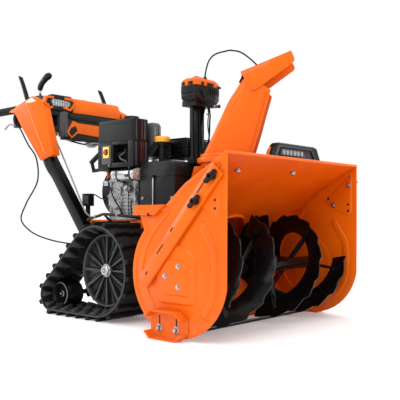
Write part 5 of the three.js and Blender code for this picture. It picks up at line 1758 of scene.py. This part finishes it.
def chute_slice(z, line):
    """The U of the sheet at one height: out along one wall, round the back, and home inside."""
    back = between(CHUTE_BACK, z)
    front = between(line, z)
    bend = 30
    curve = [(front, CHUTE_HALF)]
    for wall in (0, CHUTE_WALL):
        reach = CHUTE_HALF - wall
        turn = bend - wall
        half = [(back + wall + turn - turn * math.sin(a), reach - turn + turn * math.cos(a))
                for a in (math.radians(15 * k) for k in range(7))]
        whole = half + [(s, -u) for s, u in half[::-1]]
        if wall:
            curve += [(front, -CHUTE_HALF), (front, -reach)] + whole[::-1] + [(front, reach)]
        else:
            curve += whole
    return [in_chute(s, u, z) for s, u in curve]


chute = Shape()
levels = [622, 650, 680, 710, 740, 770, 800, 825, 845, 858, 865.9]
tip_levels = [866.1, 870, 874, 880, 888, 897, 906, 913.9]
slices = [chute_slice(z, CHUTE_LIP) for z in levels] + [chute_slice(z, CHUTE_TIP) for z in tip_levels]
chute.loft(slices, "orange_paint")
for u in (-CHUTE_HALF - 0.6, CHUTE_HALF + 0.6):
    for inset in (9, 14):
        route = [in_chute(between(CHUTE_LIP, z) - inset, u, z) for z in range(640, 866, 20)]
        rings = [[p + Vector((0.9 * MM * math.cos(a), 0.9 * MM * math.sin(a), 0))
                  for a in (0, 1.57, 3.14, 4.71)]
                 for p in route]
        chute.loft(rings, "orange_paint")
for r_in, r_out, z0, z1 in ((62, 108, 601.5, 622), (62, 96, 618, 636)):
    ring = [(z0, r_in), (z0, r_out - 2), (z0 + 2, r_out), (z1 - 2, r_out), (z1, r_out - 2), (z1, r_in)]
    chute.spun((0, CHUTE_AXIS_Y, 0), (0, 0, 1), ring, "orange_paint", 48, loop=True)
chute.done("chute_finished", "chute", bevel=0.6, sharp=50, replaces=["chute"])
print(len(slices), "slices of", len(slices[0]), "points")

# %% [markdown]
# The cap is a folded plate: a flat roof between two cheeks whose lower corners are cut round. It tips on a
# hinge at the top of the chute's back, to throw the snow far or to drop it near. The hinge is a thin
# barrel with a leaf, and it stays on the chute while the cap swings.

# %% The cap on its hinge
CAP_HALF = 78
HINGE_HALF = 60
CHEEK = [(66, 938), (253, 1011), (269, 974), (107, 858)]


def cap_plate(shape, outline, u0, u1, look="orange_paint"):
    return shape.loft([[in_chute(s, u, z) for s, z in outline] for u in (u0, u1)], look)


cap = Shape()
cheek = CHEEK[:2] + rounded(CHEEK, 13)[10:15] + rounded(CHEEK, 26)[15:20]
for u in (-CAP_HALF, CAP_HALF - 3.5):
    cap_plate(cap, cheek, u, u + 3.5)
roof = [(66, 938), (253, 1011), (251.8, 1014), (64.8, 941)]
cap_plate(cap, [(s + 0.6, z - 3) for s, z in roof], -CAP_HALF, CAP_HALF)
cap.done("deflector_finished", "deflector", bevel=0.8, sharp=40, replaces=["deflector"])
hinge = Shape()
rings = []
for u in (-HINGE_HALF, 2 - HINGE_HALF, HINGE_HALF - 2, HINGE_HALF):
    radius = 3 if abs(u) == HINGE_HALF else 4.5
    rings.append([in_chute(71 + radius * math.cos(a), u, 924 + radius * math.sin(a)) for a in
                  (math.radians(30 * k) for k in range(12))])
hinge.loft(rings, "black_steel")
cap_plate(hinge, [(58, 904), (62, 900), (72, 920), (68, 923)], -58, 58, "black_steel")
hinge.done("cap_hinge", "chute", bevel=0.4, sharp=40)
print("the cap turns on a hinge", 2 * HINGE_HALF, "mm long")

# %% [markdown]
# ## Chute drive
# The post carries a closed gearbox. Its black lower half is split by a seam and ribbed where the motor
# sits, and an orange cover clips over it with black windows. Short steel fins show on top. Under it a
# threaded rod runs sideways, a bundle of wires hangs down the post, and the pinion's shaft drops to the
# chute's ring. All of it keeps clear of the chute, which swings past in front.

# %% Gearbox, cover, post and pinion
GEARBOX = [(-44, 428), (50, 428), (94, 446), (94, 506), (80, 520), (-56, 520), (-68, 508), (-68, 438)]
GEARBOX_Z = (852.4, 912)


plan = rounded(GEARBOX, 6, 3)
box = Shape()
low, high = GEARBOX_Z
steps = [(low, 12), (low + 1, 8), (low + 14, 1), (low + 26, 0.5), (low + 26.5, 2.5), (low + 29, 2.5),
         (low + 29.5, 0), (high - 1, 0), (high, 1)]
box.stack(plan, "z", steps, "black_plastic")
for k in range(5):
    box.box((14 + 14 * k, 424.5 + max(0, (14 * k - 30) * 0.42), low + 32),
            (20 + 14 * k, 436 + 5 * k, high - 4), "black_plastic")
for k in range(3):
    z = low + 34 + 9 * k
    box.prism(offset_inwards(plan, -0.9), "z", z, z + 2.5, "black_plastic")
box.spun((-30, 429, 884), (0, -1, 0), [(0, 11), (2, 11), (3, 8), (5, 8)], "black_steel", 20)
box.box((-67, 434, 866), (-58, 439, 900), "black_plastic")
box.done("chute_gearbox_finished", "root", bevel=0.8, sharp=40, replaces=["chute_gearbox"])
cover = Shape()
low = GEARBOX_Z[1] + 0.3
rings = []
for z, inset in ((low, 0.5), (low + 12, 0), (low + 20, 2), (low + 26, 7), (low + 31, 16), (low + 34.5, 26)):
    rings.append([place(x, y, z - 0.10 * max(0, y - 480)) for x, y in offset_inwards(plan, inset)])
cover.loft(rings, "orange_plastic")
for x0, x1 in ((-38, -24), (-4, 34)):
    cover.box((x0, 426.4, low), (x1, 432, low + 13), "black_plastic")
cover.box((66, 432, low), (86, 441, low + 9), "black_plastic")
cover.box((-69, 446, low), (-60, 472, low + 14), "black_plastic")
cover.box((-69, 488, low), (-60, 504, low + 14), "black_plastic")
for k in range(4):
    x = -46 + 13 * k
    cover.box((x, 446, low + 24), (x + 4, 474, low + 36), "bright_steel")
cover.spun((4, 446, low + 28), (0, 0, 1), [(0, 9), (6, 8), (7, 5)], "black_plastic", 18)
cover.done("chute_gearbox_cover_finished", "root", bevel=1.0, sharp=32, replaces=["chute_gearbox_cover"])

# %% Post, pinion, threaded rod and wires
pinion = Shape()
pinion.spun((-46, 468, 603.5), (0, 0, 1), [(0, 16), (1, 18), (19, 18), (20, 10), (30, 10), (31, 7), (242, 7)],
            "black_steel", 24)
for a in turns(12):
    c, d = math.cos(a), math.sin(a)
    pinion.spun((-46 + 17 * c, 468 + 17 * d, 604), (0, 0, 1), [(0, 2.6), (18, 2.6)], "black_steel", 6)
pinion.done("chute_pinion_finished", "chute_pinion", bevel=0.3, sharp=45, replaces=["chute_pinion"])
drive = Shape()
drive.box((-58, 440, 832), (52, 512, 853), "black_plastic")
drive.box((-30, 435, 838), (46, 442, 852), "black_steel")
ROD = ((36, 444, 844), (1, 0.02, 0))
thread = [(2 * k, 4.4 if k % 2 else 3.2) for k in range(29)]
drive.spun(*ROD, thread, "bright_steel", 12)
drive.spun((44, 444, 844), (1, 0, 0), [(0, 8), (10, 8)], "bright_steel", 6)
drive.spun((84, 445, 844), (1, 0, 0), [(0, 8), (8, 8)], "black_steel", 6)
drive.tube([(30, 442, 842), (46, 440, 834), (64, 440, 836), (80, 442, 840)], 2.4, "black_plastic", sides=8)
drive.tube([(20, 442, 850), (27, 439, 800), (24, 439, 770), (28, 444, 720), (27, 455, 660), (28, 458, 622),
            (26, 460, 606)],
           3.4, "black_plastic", sides=8)
drive.tube([(10, 440, 848), (16, 438, 806), (14, 440, 760), (26, 442, 700), (33, 456, 648), (30, 460, 616)],
           2.4, "rubber",
           sides=8)
drive.tube([(26, 442, 816), (22, 438, 808), (14, 438, 800), (8, 442, 806)], 2.4, "bright_steel", sides=8)
for k in range(4):
    drive.spun((29, 457, 640 + 9 * k), (0, 0, 1), [(0, 6), (5, 6)], "black_plastic", 12)
drive.box((-23, 449, 560), (-21.6, 490, 840), "black_steel")
drive.tube([(-10, 440, 856), (-20, 427, 866), (-30, 425.5, 874), (-30, 426, 884)], 2.4, "black_plastic",
           sides=8)
drive.done("chute_drive_details", "root", bevel=0.4, sharp=40)
print("the thread has", len(thread) // 2, "turns")

# %% [markdown]
# ## Cables that bend
# The cable to the cap starts on the gearbox, which stands still, and ends on the cap, which swings and
# turns with the chute. Each half therefore blends from one moving part to the next: the first from the
# machine to the chute, and the second from the chute to the cap.

# %% Deflector cable
CABLE = [(4, 446, 947), (3, 440, 976), (-5, 417, 1010), (-7, 382, 1030), (9, 325, 1039), (31, 292, 1031),
         (51, 262, 1006),
         (73, 228, 967)]
APEX = 4
first = Shape()
first.tube(CABLE[:APEX + 1], 3, "rubber", sides=10, smooth=8)
first = first.done("deflector_cable_rear", None, sharp=60, replaces=["deflector_cable"])
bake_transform(first, "root", "chute", start=place(*CABLE[0]), end=place(*CABLE[APEX]))
second = Shape()
second.tube(CABLE[APEX:], 3, "rubber", sides=10, smooth=8)
second = second.done("deflector_cable_front", None, sharp=60)
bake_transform(second, "chute", "deflector", start=place(*CABLE[APEX]), end=place(*CABLE[-1]))
ends = Shape()
ends.spun((4, 446, 944), (0, 0, 1), [(0, 6), (5, 6), (6, 4), (12, 4)], "black_plastic", 14)
ends.done("cable_socket", "root")
anchor = Shape()
anchor.spun((73, 228, 963), (-0.4, 0.5, 0.76), [(0, 6), (7, 6), (8, 4.2)], "black_plastic", 14)
anchor.done("cable_anchor", "deflector")
print("the cable peaks", CABLE[APEX][2], "mm above the ground")

# %% [markdown]
# ## The pieces that need no more than their rounded edges
# What is left is right in shape already, so it is only rounded and finished. The augers and the blade get
# the rubbed edge.

# %% Finish what is left
RUBBED = {"auger_right", "auger_left", "impeller", "scraper_blade"}
# The back of the housing and the impeller's housing take the orange with painted shade.
SHADED = {"housing_back": "orange_painted_shade", "impeller_housing": "orange_painted_shade"}
REMADE = {name for piece in bpy.data.objects for name in list(piece.get("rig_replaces", []))}
for node in sorted(set(SLOT_OF) - REMADE):
    edge_look = "worn_edge" if node in RUBBED else None
    rounded_copy(node, EDGE_ROUND[SLOT_OF[node]], look=SHADED.get(node), edge_look=edge_look)
print("rounded", len(SLOT_OF) - len(REMADE), "nodes;", len(REMADE), "were made anew")

# %% [markdown]
